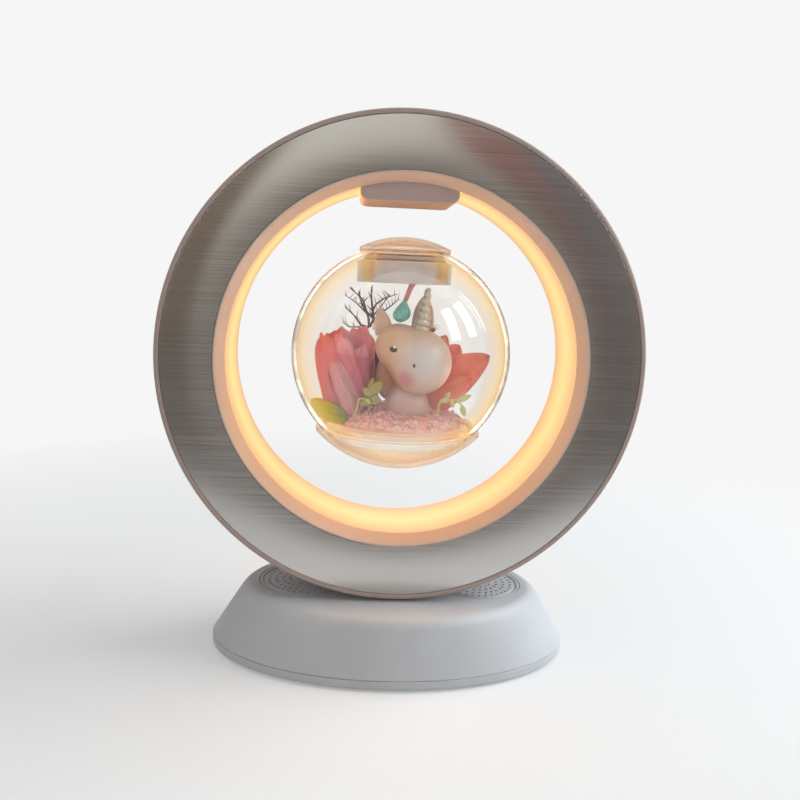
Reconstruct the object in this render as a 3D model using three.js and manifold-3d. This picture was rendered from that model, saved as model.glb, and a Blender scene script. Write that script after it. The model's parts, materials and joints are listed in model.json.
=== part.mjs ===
// A floating flower lamp: an upright light ring on an oval speaker base, with a clear ball
// that hangs in the middle of the ring on a magnet and holds a small figure among flowers.
// Millimetres, +Z up, origin on the floor under the ring's centre, front towards -Y.
import * as THREE from 'three';
import { mergeVertices } from 'three/addons/utils/BufferGeometryUtils.js';
import Module from 'manifold-3d';

const wasm = await Module();
wasm.setup();

// Fits shared by all pieces.
const clearance = 0.3;
const overrun = 6;
const weldDistance = 0.0001;

// Facet counts of round pieces.
const ringSides = 36;
const baseSides = 32;
const ballSides = 24;
const openingSides = 16;
const bloomSides = 20;
const bedSides = 28;
const speakerSides = 12;
const coilSides = 12;
const pinSides = 6;
const stalkSides = 5;
const holeSides = 4;
const cornerSteps = 3;
const rollSteps = 3;
const hollowRollSteps = 2;
const domeSteps = 3;
const shellSteps = 6;

const ring = {
  outerRadius: 85,
  halfDepth: 21,
  wall: 2,
  faceWall: 2,
  edgeRadius: 1,
  rimWidth: 1.6,
  lipReach: 2.7,
  lipFlat: 0.6,
  lipDepth: 6,
  plateThickness: 0.8,
  plateSink: 0.2,
  diffuserThickness: 2,
  diffuserShelf: 3,
  lightGap: 4,
  stripWall: 1.6,
  tongueLength: 1.5,
  bossRadius: 4.2,
  screwLength: 22,
  leadHoleRadius: 2.4,
};

// The opening's radius as a share of the outer radius.
const opening_share = 0.726;

const strip = {
  halfWidth: 5,
  thickness: 0.4,
  chipSize: 3.5,
  chipHeight: 1.2,
  chipCount: 12,
};

const pod = {
  halfWidth: 17.25,
  drop: 6.2,
  cornerRadius: 3,
  wall: 1.6,
  height: 16.8,
  earWidth: 4.5,
  earThickness: 1.6,
};

const coil = {
  flangeThickness: 1.3,
  tubeWall: 1,
  flangeMargin: 0.5,
  coreRadius: 4.4,
  coreHeadRadius: 6.6,
  coreHeadHeight: 1.2,
  biasRadius: 8.5,
  biasHeight: 3.6,
  sensorBoardThickness: 1,
  sensorSize: 4,
  sensorHeight: 1.3,
};

const screw = {
  shankRadius: 1.3,
  headRadius: 2.6,
  headHeight: 1.5,
};

const base = {
  height: 24.5,
  bottomHalfLength: 67.5,
  bottomHalfWidth: 40.5,
  shoulderDrop: 4.5,
  wall: 2.2,
  footHeight: 0.8,
  coverTop: 4,
  coverEdge: 1,
  floorThickness: 2.2,
  lipHeight: 2.2,
  lipWall: 1.6,
  postRadius: 3.2,
  screwLength: 8.5,
};
// Shares of the bottom oval's half length and half width.
const shoulder_share = [0.8563, 0.9136];
const top_share = [0.7704, 0.8148];
const post_share = [0.5926, 0.5926];

const saddle = {
  lift: 1,
  halfLength: 14.5,
  halfWidth: 14,
  plugHalfLength: 10,
  plugHalfWidth: 9.5,
  plugReach: 1.6,
  screwOffset: 6.4,
  screwLength: 8.5,
  bossRadius: 3.2,
  bossHeight: 5,
};

const foot = {
  radius: 5,
  sink: 0.8,
  edge: 0.4,
};

const speaker = {
  offset: 33,
  grilleRadius: 17,
  grilleThickness: 1.3,
  ledge: 1.8,
  grooveWidth: 1.1,
  grooveDepth: 0.5,
  holePitch: 3.6,
  holeRadius: 0.75,
  holeRings: 3,
  holesPerTurn: 6,
  flangeRadius: 16.6,
  flangeThickness: 1.2,
  basketWall: 1,
  basketDepth: 6,
  basketFloorRadius: 9.6,
  coneWall: 0.6,
  coneDepth: 4,
  dustCapRadius: 4.2,
  surroundWidth: 2.2,
  magnetRadius: 8.8,
  magnetHeight: 4.2,
  magnetHoleRadius: 2.5,
};

const board = {
  halfLength: 23,
  halfWidth: 17,
  thickness: 1.6,
  standoffRadius: 2.4,
  standoffX: 19,
  standoffY: 13,
  standoffHeight: 3.6,
  coilChipLength: 9,
  coilChipHeight: 4.5,
  capacitorRadius: 3.2,
  capacitorHeight: 7,
  capacitorX: 8,
  capacitorY: 9,
  connectorLength: 8,
  connectorWidth: 4,
  connectorHeight: 5,
};

const button = {
  rowX: -9,
  pitch: 12,
  height: 12.5,
  radius: 2.6,
  proud: 1,
  edge: 0.5,
  collarRadius: 3.6,
  collarThickness: 1,
  travel: 0.6,
  stemRadius: 1.2,
  stemLength: 1.2,
  switchSize: 5,
  switchDepth: 2.4,
  plungerRadius: 0.9,
  plungerLength: 0.5,
  boardMargin: 4,
  boardThickness: 1.4,
  boardHeight: 13,
  clipLength: 6,
  clipHeight: 4,
  clipWall: 1.5,
};

const socket = {
  x: 23,
  height: 12.5,
  barrelRadius: 4,
  boreRadius: 3.1,
  boreDepth: 8.5,
  pinRadius: 0.9,
  bodyHalfLength: 4.8,
  bodyHeight: 11,
  bodyDepth: 10,
};

const ball = {
  radius: 40,
  wall: 1.6,
  rise: 2,
  topHoleRadius: 14.3,
  capRimOverlap: 2.2,
  capRimHeight: 1.5,
  capRise: 2.3,
  capWall: 1.4,
  spigotReach: 2.2,
  spigotWall: 1.4,
  cupRimOverlap: 1.4,
  cupDrop: 2.2,
  cupWall: 1.6,
  cupRimHeight: 1.1,
  cupRimWidth: 4.2,
  floorThickness: 2.2,
};
// Height of the sphere's lower edge as a share of its radius.
const bottomLevel_share = -0.6875;

const magnet = {
  radius: 17.2,
  height: 7.6,
  holeRadius: 4,
  recessRadius: 6.4,
  recessDepth: 1.3,
  holderRadius: 15,
  holderThickness: 1.2,
  pinHeadRadius: 5.8,
};

// Pieces inside the ball follow its clear inner radius. A place is x, y, z from its centre.
const bed = {
  innerHeight: 5.2,
  edgeGap: 4,
  rippleHeight: 0.5,
  rippleCount: 7,
};
const bedSlope_share = 0.55;
const bedTurn_share = 0.86;
const bedCrown_share = 0.6;

const figure = {
  bodyRadius: 7.7,
  bodyTop: -11.2,
  skullRadius: 8.3,
  muzzleRadius: 11.2,
  earRadius: 2.6,
  earTipRadius: 0.4,
  hornRadius: 2.5,
  hornLength: 16.4,
  hornTipRadius: 0.5,
  hornRibDepth: 0.3,
  hornRibCount: 7,
  gemRadius: 3,
  gemLength: 9,
  plumeRadius: 1.5,
  plumeTipRadius: 0.5,
  plumeLength: 8,
};
const body_share = [0.055, -0.16, 0];
const bodyProfile_shares = [[0, 0], [0.86, 0], [1, 0.3], [0.88, 0.62], [0.62, 1], [0, 1]];
const gemProfile_shares = [[0, -0.5], [0.7, -0.4], [1, -0.16], [0.8, 0.12], [0.35, 0.36], [0, 0.5]];
const skull_share = [-0.035, -0.13, 0.08];
const muzzle_share = [0.146, -0.26, -0.057];
const earBase_shares = [[-0.12, -0.12, 0.16], [0.1, -0.14, 0.1]];
const earTip_shares = [[-0.25, -0.1, 0.4], [0.265, -0.08, 0.54]];
const hornBase_share = [0.155, -0.19, 0.2];
const hornTip_share = [0.225, -0.2, 0.64];
const gem_share = [-0.01, -0.23, 0.4];
const plumeTip_share = [0.075, -0.2, 0.655];

const bloom = {
  radius: 10.7,
  height: 31.4,
  waveCount: 5,
};
const bloom_share = [-0.547, -0.11, 0];
const bloomTwist_share = 0.07;
const petalWave_share = 0.08;
const bladeProfile_shares = [[0, 0.18], [0.25, 0.75], [0.55, 1], [0.8, 0.72], [1, 0.1]];
const bloomProfile_shares = [[0.32, 0], [0.66, 0.2], [0.94, 0.45], [1, 0.74], [0.86, 1], [0.6, 0.92], [0.3, 0.84]];

const petal = {
  halfWidth: 8,
  thickness: 1.6,
  cup: 3.2,
};
const petalRoot_share = [0.3, 0.12, -0.56];
const petalTip_shares = [[0.86, 0.08, 0.02], [0.58, 0.16, 0.18], [0.7, 0.03, -0.2], [0.4, 0.2, 0.19]];

const leaf = {
  halfWidth: 4,
  thickness: 1,
  cup: 1.2,
};
const leafRoot_share = [-0.43, -0.47, -0.6];
const leafTip_share = [-0.79, -0.21, -0.44];
const sprigRoot_share = [0.46, -0.36, -0.53];
const sprigTip_shares = [[0.64, -0.32, -0.34], [0.51, -0.34, -0.33], [0.35, -0.4, -0.4], [0.6, -0.4, -0.5]];
const sprig = {
  stalkRadius: 0.8,
  leafRadius: 1.7,
  clumpRadius: 2.4,
};

const twig = {
  stemRadius: 0.9,
  tipRadius: 0.35,
};
const twigRoot_share = [-0.2, 0.26, -0.6];
const twigFork_share = [-0.27, 0.2, 0.2];
const twigTip_shares = [
  [-0.31, 0.16, 0.62],
  [-0.56, 0.12, 0.58],
  [-0.56, 0.2, 0.3],
  [-0.06, 0.22, 0.57],
  [-0.43, 0.28, 0.5],
];

// Levels and radii that follow from the driving dimensions.
const ringLevel = base.height + saddle.lift + ring.outerRadius;
const openingRadius = ring.outerRadius * opening_share;
const plateOuterRadius = ring.outerRadius - ring.rimWidth;
const plateInnerRadius = openingRadius + ring.lipReach + ring.lipFlat;
const recessLevel = ring.halfDepth - ring.plateSink - ring.plateThickness - clearance;
const innerFace = recessLevel - ring.faceWall;
const lipEnd = ring.halfDepth - ring.lipDepth;
const shelfRadius = openingRadius + ring.diffuserThickness + clearance;
const shelfEnd = lipEnd - ring.diffuserShelf;
const stripRadius = shelfRadius + ring.lightGap;
const carrierRadius = stripRadius + ring.stripWall;
const hollowRadius = ring.outerRadius - ring.wall;
const halfGap = clearance / 2;
const bossCircle = (carrierRadius + hollowRadius) / 2;
const podHalfDepth = lipEnd - clearance;
const podBottom = openingRadius - pod.drop;
const podTop = podBottom + pod.height;
const shankHole = screw.shankRadius + clearance;
const headHole = screw.headRadius + clearance;
const clearRadius = ball.radius - ball.wall;
const bottomLevel = ball.radius * bottomLevel_share;
const capRimRadius = ball.topHoleRadius + ball.capRimOverlap;
const capTop = ball.radius + ball.capRise;
const cupRimRadius = sphereLevel(ball.radius, bottomLevel) + ball.cupRimOverlap;
const cupBottom = -ball.radius - ball.cupDrop;
const coverFloor = base.footHeight + base.floorThickness;
const shellBottom = base.coverTop + clearance;
const innerTop = base.height - base.wall;
const topHalfLength = base.bottomHalfLength * top_share[0];
const topHalfWidth = base.bottomHalfWidth * top_share[1];

// Helpers for outlines and solids.
// Height of a sphere's surface above its centre, at a distance from its axis.
function sphereLevel(radius, fromCentre) {
  return Math.sqrt(radius * radius - fromCentre * fromCentre);
}

function vector(x, y) {
  return new THREE.Vector2(x, y);
}

function place(share) {
  return new THREE.Vector3(...share).multiplyScalar(clearRadius);
}

function placed(geometry, x, y, z) {
  return geometry.translate(x, y, z);
}

// Welds a closed geometry and hands it over as a solid that can be joined and cut.
function toSolid(geometry) {
  const bare = new THREE.BufferGeometry();
  bare.setAttribute('position', geometry.getAttribute('position').clone());
  bare.setIndex(geometry.index);
  const welded = mergeVertices(bare, weldDistance);
  const vertProperties = welded.getAttribute('position').array;
  const triVerts = new Uint32Array(welded.index.array);
  return new wasm.Manifold(new wasm.Mesh({ numProp: 3, vertProperties, triVerts }));
}

function toGeometry(shape) {
  const mesh = shape.getMesh();
  const geometry = new THREE.BufferGeometry();
  geometry.setAttribute('position', new THREE.BufferAttribute(mesh.vertProperties, 3));
  geometry.setIndex(new THREE.BufferAttribute(mesh.triVerts, 1));
  geometry.computeVertexNormals();
  return geometry;
}

function join(shapes) {
  return shapes.reduce((whole, next) => whole.add(next));
}

function cut(shape, tools) {
  return tools.reduce((rest, tool) => rest.subtract(tool), shape);
}

// A profile of radius and height turned about Z.
function turned(points, sides) {
  return new THREE.LatheGeometry(points, sides).rotateX(Math.PI / 2);
}

// A profile of radius and depth turned about Y, the axis of the ring.
function ringTurned(points) {
  return new THREE.LatheGeometry(points, ringSides);
}

function closed(points) {
  return [...points, points[0]];
}

function block([x0, x1], [y0, y1], [z0, z1]) {
  const box = new THREE.BoxGeometry(x1 - x0, y1 - y0, z1 - z0);
  return toSolid(placed(box, (x0 + x1) / 2, (y0 + y1) / 2, (z0 + z1) / 2));
}

function uprightRod(radius, x, y, [z0, z1], sides = pinSides) {
  const rod = new THREE.CylinderGeometry(radius, radius, z1 - z0, sides).rotateX(Math.PI / 2);
  return toSolid(placed(rod, x, y, (z0 + z1) / 2));
}

function crossRod(radius, x, z, [y0, y1], sides = pinSides) {
  const rod = new THREE.CylinderGeometry(radius, radius, y1 - y0, sides);
  return toSolid(placed(rod, x, (y0 + y1) / 2, z));
}

// A skin over a stack of rings with equal point counts, closed by a flat fan at each end.
function loft(rings) {
  const count = rings[0].length;
  const points = rings.flat();
  const faces = [];
  for (let r = 0; r < rings.length - 1; r += 1) {
    for (let i = 0; i < count; i += 1) {
      const here = r * count + i;
      const next = r * count + ((i + 1) % count);
      faces.push(here, next, next + count, here, next + count, here + count);
    }
  }
  const last = (rings.length - 1) * count;
  const start = points.push(middle(rings[0])) - 1;
  const end = points.push(middle(rings[rings.length - 1])) - 1;
  for (let i = 0; i < count; i += 1) {
    const next = (i + 1) % count;
    faces.push(start, next, i, end, last + i, last + next);
  }
  const geometry = new THREE.BufferGeometry().setFromPoints(points);
  geometry.setIndex(faces);
  return geometry;
}

function middle(points) {
  const sum = new THREE.Vector3();
  points.forEach((p) => sum.add(p));
  return sum.divideScalar(points.length);
}

// One ring of a loft: radius as a function of the angle, about a centre, square to a direction.
function ringAbout(centre, direction, sides, radiusAt) {
  const turn = new THREE.Quaternion().setFromUnitVectors(new THREE.Vector3(0, 0, 1), direction);
  return Array.from({ length: sides }, (_, i) => {
    const angle = (2 * Math.PI * i) / sides;
    const radius = radiusAt(angle);
    const point = new THREE.Vector3(radius * Math.cos(angle), radius * Math.sin(angle), 0);
    return point.applyQuaternion(turn).add(centre);
  });
}

// A straight spike or stalk that runs from one radius to another.
function taper(from, to, startRadius, endRadius, sides) {
  const direction = to.clone().sub(from).normalize();
  const rings = [
    ringAbout(from, direction, sides, () => startRadius),
    ringAbout(to, direction, sides, () => endRadius),
  ];
  return toSolid(loft(rings));
}

function sphere(centre, radius, sides) {
  const round = new THREE.SphereGeometry(radius, sides, Math.round(sides / 2));
  return toSolid(placed(round.rotateX(Math.PI / 2), centre.x, centre.y, centre.z));
}

// Points on a circle about a centre on the axis, from one radius to another, as a profile.
function arcProfile(sphereRadius, centreLevel, fromRadius, toRadius, up) {
  return Array.from({ length: domeSteps + 1 }, (_, i) => {
    const start = Math.asin(fromRadius / sphereRadius);
    const finish = Math.asin(toRadius / sphereRadius);
    const angle = start + ((finish - start) * i) / domeSteps;
    return vector(sphereRadius * Math.sin(angle), centreLevel + up * sphereRadius * Math.cos(angle));
  });
}

// Sphere radius of a dome that passes through its top and its rim.
function domeRadius(rimRadius, rise) {
  return (rimRadius * rimRadius + rise * rise) / (2 * rise);
}

const finishes = {
  shellPlastic: { color: '#d9cfcb', roughness: 0.45, metalness: 0 },
  brushedSteel: { color: '#9b9791', roughness: 0.35, metalness: 1 },
  diffuser: { color: '#ffdf9e', roughness: 0.5, metalness: 0 },
  darkPlastic: { color: '#8a7d80', roughness: 0.4, metalness: 0 },
  circuit: { color: '#2f5a3c', roughness: 0.6, metalness: 0 },
  ledStrip: { color: '#f2ead8', roughness: 0.5, metalness: 0 },
  copper: { color: '#b4693a', roughness: 0.35, metalness: 1 },
  iron: { color: '#6f6d6b', roughness: 0.45, metalness: 1 },
  nickel: { color: '#b3aaa6', roughness: 0.18, metalness: 1 },
  screwSteel: { color: '#8d8f92', roughness: 0.35, metalness: 1 },
  basePlastic: { color: '#c9ccd0', roughness: 0.5, metalness: 0 },
  paper: { color: '#33312f', roughness: 0.8, metalness: 0 },
  rubber: { color: '#2b2b2c', roughness: 0.9, metalness: 0 },
  clear: { color: '#eef2f2', roughness: 0.05, metalness: 0 },
  figureCream: { color: '#efcfae', roughness: 0.5, metalness: 0 },
  hornSilver: { color: '#b9b3a6', roughness: 0.35, metalness: 0.6 },
  gemTeal: { color: '#2f8f86', roughness: 0.3, metalness: 0 },
  coral: { color: '#e8705a', roughness: 0.7, metalness: 0 },
  rose: { color: '#dc7479', roughness: 0.7, metalness: 0 },
  leafGreen: { color: '#9db23a', roughness: 0.7, metalness: 0 },
  twigBrown: { color: '#4a2430', roughness: 0.8, metalness: 0 },
  gravelPink: { color: '#dda09c', roughness: 0.8, metalness: 0 },
};

function part(group, name, shape, finish) {
  const geometry = shape.isBufferGeometry ? shape : toGeometry(shape);
  const mesh = new THREE.Mesh(geometry, new THREE.MeshStandardMaterial(finishes[finish]));
  mesh.name = name;
  group.add(mesh);
  return mesh;
}

// A pan-head screw with its head's seat at zero and its shank along -Z.
function screwShape(length) {
  const profile = [
    vector(0, -length),
    vector(screw.shankRadius / 2, -length),
    vector(screw.shankRadius, screw.shankRadius - length),
    vector(screw.shankRadius, 0),
    vector(screw.headRadius, 0),
    vector(screw.headRadius, screw.headHeight / 2),
    vector(screw.headRadius - screw.headHeight / 2, screw.headHeight),
    vector(0, screw.headHeight),
  ];
  return toGeometry(toSolid(turned(profile, pinSides)));
}

// The ring: two moulded half shells, a steel plate on each face and a light band between them.
function shellSection(hasTongue) {
  const outline = new THREE.Path();
  outline.moveTo(ring.outerRadius, halfGap);
  outline.lineTo(ring.outerRadius, ring.halfDepth - ring.edgeRadius);
  const edgeX = ring.outerRadius - ring.edgeRadius;
  outline.absarc(edgeX, ring.halfDepth - ring.edgeRadius, ring.edgeRadius, 0, Math.PI / 2, false);
  outline.lineTo(plateOuterRadius, ring.halfDepth);
  outline.lineTo(plateOuterRadius, recessLevel);
  outline.lineTo(plateInnerRadius, recessLevel);
  outline.lineTo(plateInnerRadius, ring.halfDepth);
  outline.lineTo(plateInnerRadius - ring.lipFlat, ring.halfDepth);
  outline.lineTo(openingRadius, lipEnd);
  outline.lineTo(shelfRadius, lipEnd);
  outline.lineTo(shelfRadius, shelfEnd);
  outline.lineTo(stripRadius, shelfEnd);
  outline.lineTo(stripRadius, halfGap);
  outline.lineTo(carrierRadius, halfGap);
  outline.lineTo(carrierRadius, innerFace);
  outline.lineTo(hollowRadius, innerFace);
  const tongueRadius = hollowRadius + (ring.wall - clearance) / 2;
  if (hasTongue) {
    outline.lineTo(hollowRadius, -ring.tongueLength);
    outline.lineTo(tongueRadius, -ring.tongueLength);
    outline.lineTo(tongueRadius, halfGap);
  } else {
    const rebateEnd = ring.tongueLength + clearance;
    outline.lineTo(hollowRadius, rebateEnd);
    outline.lineTo(tongueRadius + clearance, rebateEnd);
    outline.lineTo(tongueRadius + clearance, halfGap);
  }
  outline.closePath();
  return outline.getPoints(1);
}

function bossPlaces() {
  const side = bossCircle * Math.SQRT1_2;
  return [[side, side], [-side, side], [-side, -side], [side, -side]];
}

// Seat of a ring screw's head, as far from the middle plane as the head and the plate allow.
const ringScrewSeat = recessLevel - screw.headHeight;

function ringShell(isFront) {
  const shell = toSolid(ringTurned(shellSection(isFront)));
  const boss = [halfGap, innerFace + ring.faceWall / 2];
  const bosses = bossPlaces().map(([x, z]) => crossRod(ring.bossRadius, x, z, boss));
  const footTop = -hollowRadius + saddle.bossHeight;
  const footBoss = [-hollowRadius - ring.wall / 2, footTop];
  const whole = join([
    shell,
    ...bosses,
    uprightRod(saddle.bossRadius, 0, saddle.screwOffset, footBoss),
  ]);
  const podRoom = block(
    [-pod.halfWidth - clearance, pod.halfWidth + clearance],
    [-lipEnd, lipEnd],
    [podBottom - overrun, carrierRadius + clearance],
  );
  const leadHole = [-ring.outerRadius - overrun, footTop];
  const cuts = [
    podRoom,
    uprightRod(ring.leadHoleRadius, 0, 0, leadHole),
    uprightRod(shankHole, 0, saddle.screwOffset, leadHole),
  ];
  bossPlaces().forEach(([x, z]) => {
    if (isFront) {
      const pilotDepth = ring.screwLength - ringScrewSeat + clearance;
      cuts.push(crossRod(shankHole, x, z, [-overrun, pilotDepth]));
    } else {
      cuts.push(crossRod(shankHole, x, z, [-overrun, recessLevel]));
      cuts.push(crossRod(headHole, x, z, [ringScrewSeat - clearance, recessLevel + overrun]));
    }
  });
  return cut(whole, cuts);
}

function facePlate() {
  const back = recessLevel + clearance;
  const front = back + ring.plateThickness;
  const inner = plateInnerRadius + clearance;
  const outer = plateOuterRadius - clearance;
  const profile = [vector(inner, back), vector(outer, back), vector(outer, front), vector(inner, front)];
  return ringTurned(closed(profile));
}

function band(innerRadius, outerRadius, halfWidth) {
  const profile = [
    vector(innerRadius, -halfWidth),
    vector(outerRadius, -halfWidth),
    vector(outerRadius, halfWidth),
    vector(innerRadius, halfWidth),
  ];
  return toSolid(ringTurned(closed(profile)));
}

function lightDiffuser() {
  const whole = band(openingRadius, shelfRadius - clearance, podHalfDepth);
  const room = pod.halfWidth + clearance;
  const podRoom = block([-room, room], [-lipEnd, lipEnd], [0, shelfRadius]);
  return whole.subtract(podRoom);
}

// A flexible strip glued inside the carrier wall, with its light chips facing the middle.
function ledStrip() {
  const outer = stripRadius - clearance;
  const inner = outer - strip.thickness;
  const chips = [];
  for (let i = 0; i < strip.chipCount; i += 1) {
    const angle = (2 * Math.PI * (i + 0.5)) / strip.chipCount;
    const chipDepth = strip.chipHeight + strip.thickness / 2;
    const chip = new THREE.BoxGeometry(strip.chipSize, strip.chipSize, chipDepth);
    placed(chip, 0, 0, inner - strip.chipHeight + chipDepth / 2);
    chips.push(toSolid(chip.rotateY(angle)));
  }
  const room = pod.halfWidth + clearance;
  const podRoom = block([-room, room], [-lipEnd, lipEnd], [0, stripRadius]);
  return join([band(inner, outer, strip.halfWidth), ...chips]).subtract(podRoom);
}

// The pod hangs on its ears from the carrier wall and holds the lifting coil.
function magnetPod() {
  const outline = new THREE.Shape();
  const side = pod.halfWidth;
  const corner = pod.cornerRadius;
  outline.moveTo(-side, podTop);
  outline.lineTo(-side, podBottom + corner);
  outline.absarc(corner - side, podBottom + corner, corner, Math.PI, 1.5 * Math.PI, false);
  outline.absarc(side - corner, podBottom + corner, corner, 1.5 * Math.PI, 2 * Math.PI, false);
  outline.lineTo(side, podTop);
  outline.closePath();
  const depth = 2 * podHalfDepth;
  const options = { depth, bevelEnabled: false, curveSegments: cornerSteps };
  const box = new THREE.ExtrudeGeometry(outline, options).rotateX(Math.PI / 2);
  const earInner = carrierRadius + clearance;
  const earRing = band(earInner, earInner + pod.earThickness, podHalfDepth);
  const earRoom = block(
    [-side - pod.earWidth, side + pod.earWidth],
    [-podHalfDepth, podHalfDepth],
    [0, ring.outerRadius],
  );
  const cavity = block(
    [pod.wall - side, side - pod.wall],
    [pod.wall - podHalfDepth, podHalfDepth - pod.wall],
    [podBottom + pod.wall, podTop + overrun],
  );
  const whole = toSolid(placed(box, 0, podHalfDepth, 0)).add(earRing.intersect(earRoom));
  return whole.subtract(cavity);
}

const sensorBoardBottom = podBottom + pod.wall + clearance;
const sensorBoardTop = sensorBoardBottom + coil.sensorBoardThickness;
const bobbinBottom = sensorBoardTop + clearance;
const bobbinTop = podTop + clearance + coil.flangeThickness;
const flangeRadius = podHalfDepth - pod.wall - clearance;
const tubeRadius = coil.coreRadius + clearance + coil.tubeWall;

function hallSensorBoard() {
  const halfLength = pod.halfWidth - pod.wall - clearance;
  const halfWidth = flangeRadius;
  const half = coil.sensorSize / 2;
  const plate = block([-halfLength, halfLength], [-halfWidth, halfWidth], [sensorBoardBottom, sensorBoardTop]);
  const chipTop = sensorBoardTop + coil.sensorHeight;
  return plate.add(block([-half, half], [-half, half], [sensorBoardBottom, chipTop]));
}

function coilBobbin() {
  const flangeTop = bobbinBottom + coil.flangeThickness;
  const profile = [
    vector(0, bobbinBottom),
    vector(flangeRadius, bobbinBottom),
    vector(flangeRadius, flangeTop),
    vector(tubeRadius, flangeTop),
    vector(tubeRadius, bobbinTop - coil.flangeThickness / 2),
    vector(0, bobbinTop - coil.flangeThickness / 2),
  ];
  const hanger = block(
    [-pod.halfWidth, pod.halfWidth],
    [-podHalfDepth, podHalfDepth],
    [podTop + clearance, bobbinTop],
  );
  const bore = uprightRod(coil.coreRadius + clearance, 0, 0, [0, ring.outerRadius], coilSides);
  return toSolid(turned(profile, coilSides)).add(hanger).subtract(bore);
}

function levitationCoil() {
  const inner = tubeRadius + clearance;
  const outer = flangeRadius - coil.flangeMargin;
  const bottom = bobbinBottom + coil.flangeThickness + clearance;
  const profile = [vector(inner, bottom), vector(outer, bottom), vector(outer, podTop), vector(inner, podTop)];
  return turned(closed(profile), coilSides);
}

function coilCore() {
  const bottom = sensorBoardTop + coil.sensorHeight + clearance;
  const headBottom = bobbinTop + clearance;
  const profile = [
    vector(0, bottom),
    vector(coil.coreRadius, bottom),
    vector(coil.coreRadius, headBottom),
    vector(coil.coreHeadRadius, headBottom),
    vector(coil.coreHeadRadius, headBottom + coil.coreHeadHeight),
    vector(0, headBottom + coil.coreHeadHeight),
  ];
  return turned(profile, coilSides);
}

function biasMagnet() {
  const bottom = bobbinTop + clearance + coil.coreHeadHeight + clearance;
  return uprightRod(coil.biasRadius, 0, 0, [bottom, bottom + coil.biasHeight], coilSides);
}

function buildRing() {
  const group = new THREE.Group();
  group.position.z = ringLevel;
  const frontShell = part(group, 'ring_front_shell', ringShell(true), 'shellPlastic');
  frontShell.rotation.z = Math.PI;
  part(group, 'ring_rear_shell', ringShell(false), 'shellPlastic');
  const frontPlate = part(group, 'front_face_plate', facePlate(), 'brushedSteel');
  frontPlate.rotation.z = Math.PI;
  part(group, 'rear_face_plate', facePlate(), 'brushedSteel');
  part(group, 'light_diffuser', lightDiffuser(), 'diffuser');
  part(group, 'led_strip', ledStrip(), 'ledStrip');
  part(group, 'magnet_pod', magnetPod(), 'darkPlastic');
  part(group, 'hall_sensor_board', hallSensorBoard(), 'circuit');
  part(group, 'coil_bobbin', coilBobbin(), 'darkPlastic');
  part(group, 'levitation_coil', levitationCoil(), 'copper');
  part(group, 'coil_core', coilCore(), 'iron');
  part(group, 'bias_magnet', biasMagnet(), 'nickel');
  bossPlaces().forEach(([x, z], i) => {
    const name = `ring_screw_${i + 1}`;
    const mesh = part(group, name, screwShape(ring.screwLength), 'screwSteel');
    mesh.rotation.x = -Math.PI / 2;
    mesh.position.set(x, ringScrewSeat, z);
  });
  return group;
}

// The base: an oval housing whose side leans in and rolls over into a flat top.
function oval(halfLength, halfWidth, level) {
  return Array.from({ length: baseSides }, (_, i) => {
    const angle = (2 * Math.PI * i) / baseSides;
    return new THREE.Vector3(halfLength * Math.cos(angle), halfWidth * Math.sin(angle), level);
  });
}

// How far the straight side has leant in at a level: none at the bottom, all at the shoulder.
function leanAt(level) {
  return (level - base.coverTop) / (base.height - base.shoulderDrop - base.coverTop);
}

function sideAt(level) {
  const lean = leanAt(level);
  return {
    halfLength: base.bottomHalfLength * THREE.MathUtils.lerp(1, shoulder_share[0], lean),
    halfWidth: base.bottomHalfWidth * THREE.MathUtils.lerp(1, shoulder_share[1], lean),
  };
}

// Depth of the outer face of the side at a place across and a level.
function wallFace(x, level) {
  const side = sideAt(level);
  return side.halfWidth * Math.sqrt(1 - (x / side.halfLength) ** 2);
}

// Rings of the housing from its bottom to its flat top, drawn in by an inset.
function sideRings(bottom, inset, steps) {
  const lower = sideAt(bottom);
  const top = base.height - inset;
  const shoulderLevel = top - base.shoulderDrop;
  const shoulder = sideAt(shoulderLevel);
  const peak = sideAt(top);
  const roll = new THREE.QuadraticBezierCurve3(
    new THREE.Vector3(shoulder.halfLength, shoulder.halfWidth, shoulderLevel),
    new THREE.Vector3(peak.halfLength, peak.halfWidth, top),
    new THREE.Vector3(topHalfLength, topHalfWidth, top),
  );
  const rings = [oval(lower.halfLength - inset, lower.halfWidth - inset, bottom)];
  roll.getPoints(steps).forEach((p) => {
    rings.push(oval(p.x - inset, p.y - inset, p.z));
  });
  return rings;
}

function postPlaces() {
  const postX = base.bottomHalfLength * post_share[0];
  const postY = base.bottomHalfWidth * post_share[1];
  return [[postX, postY], [-postX, postY], [-postX, -postY], [postX, -postY]];
}

const footTop = base.footHeight + foot.sink;
const coverScrewSeat = footTop + clearance + screw.headHeight;
const coverBossTop = coverScrewSeat + clearance + screw.headHeight;
const ledgeLevel = base.height - speaker.grilleThickness - clearance;
const buttonXs = [-1, 0, 1].map((step) => button.rowX + step * button.pitch);

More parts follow.
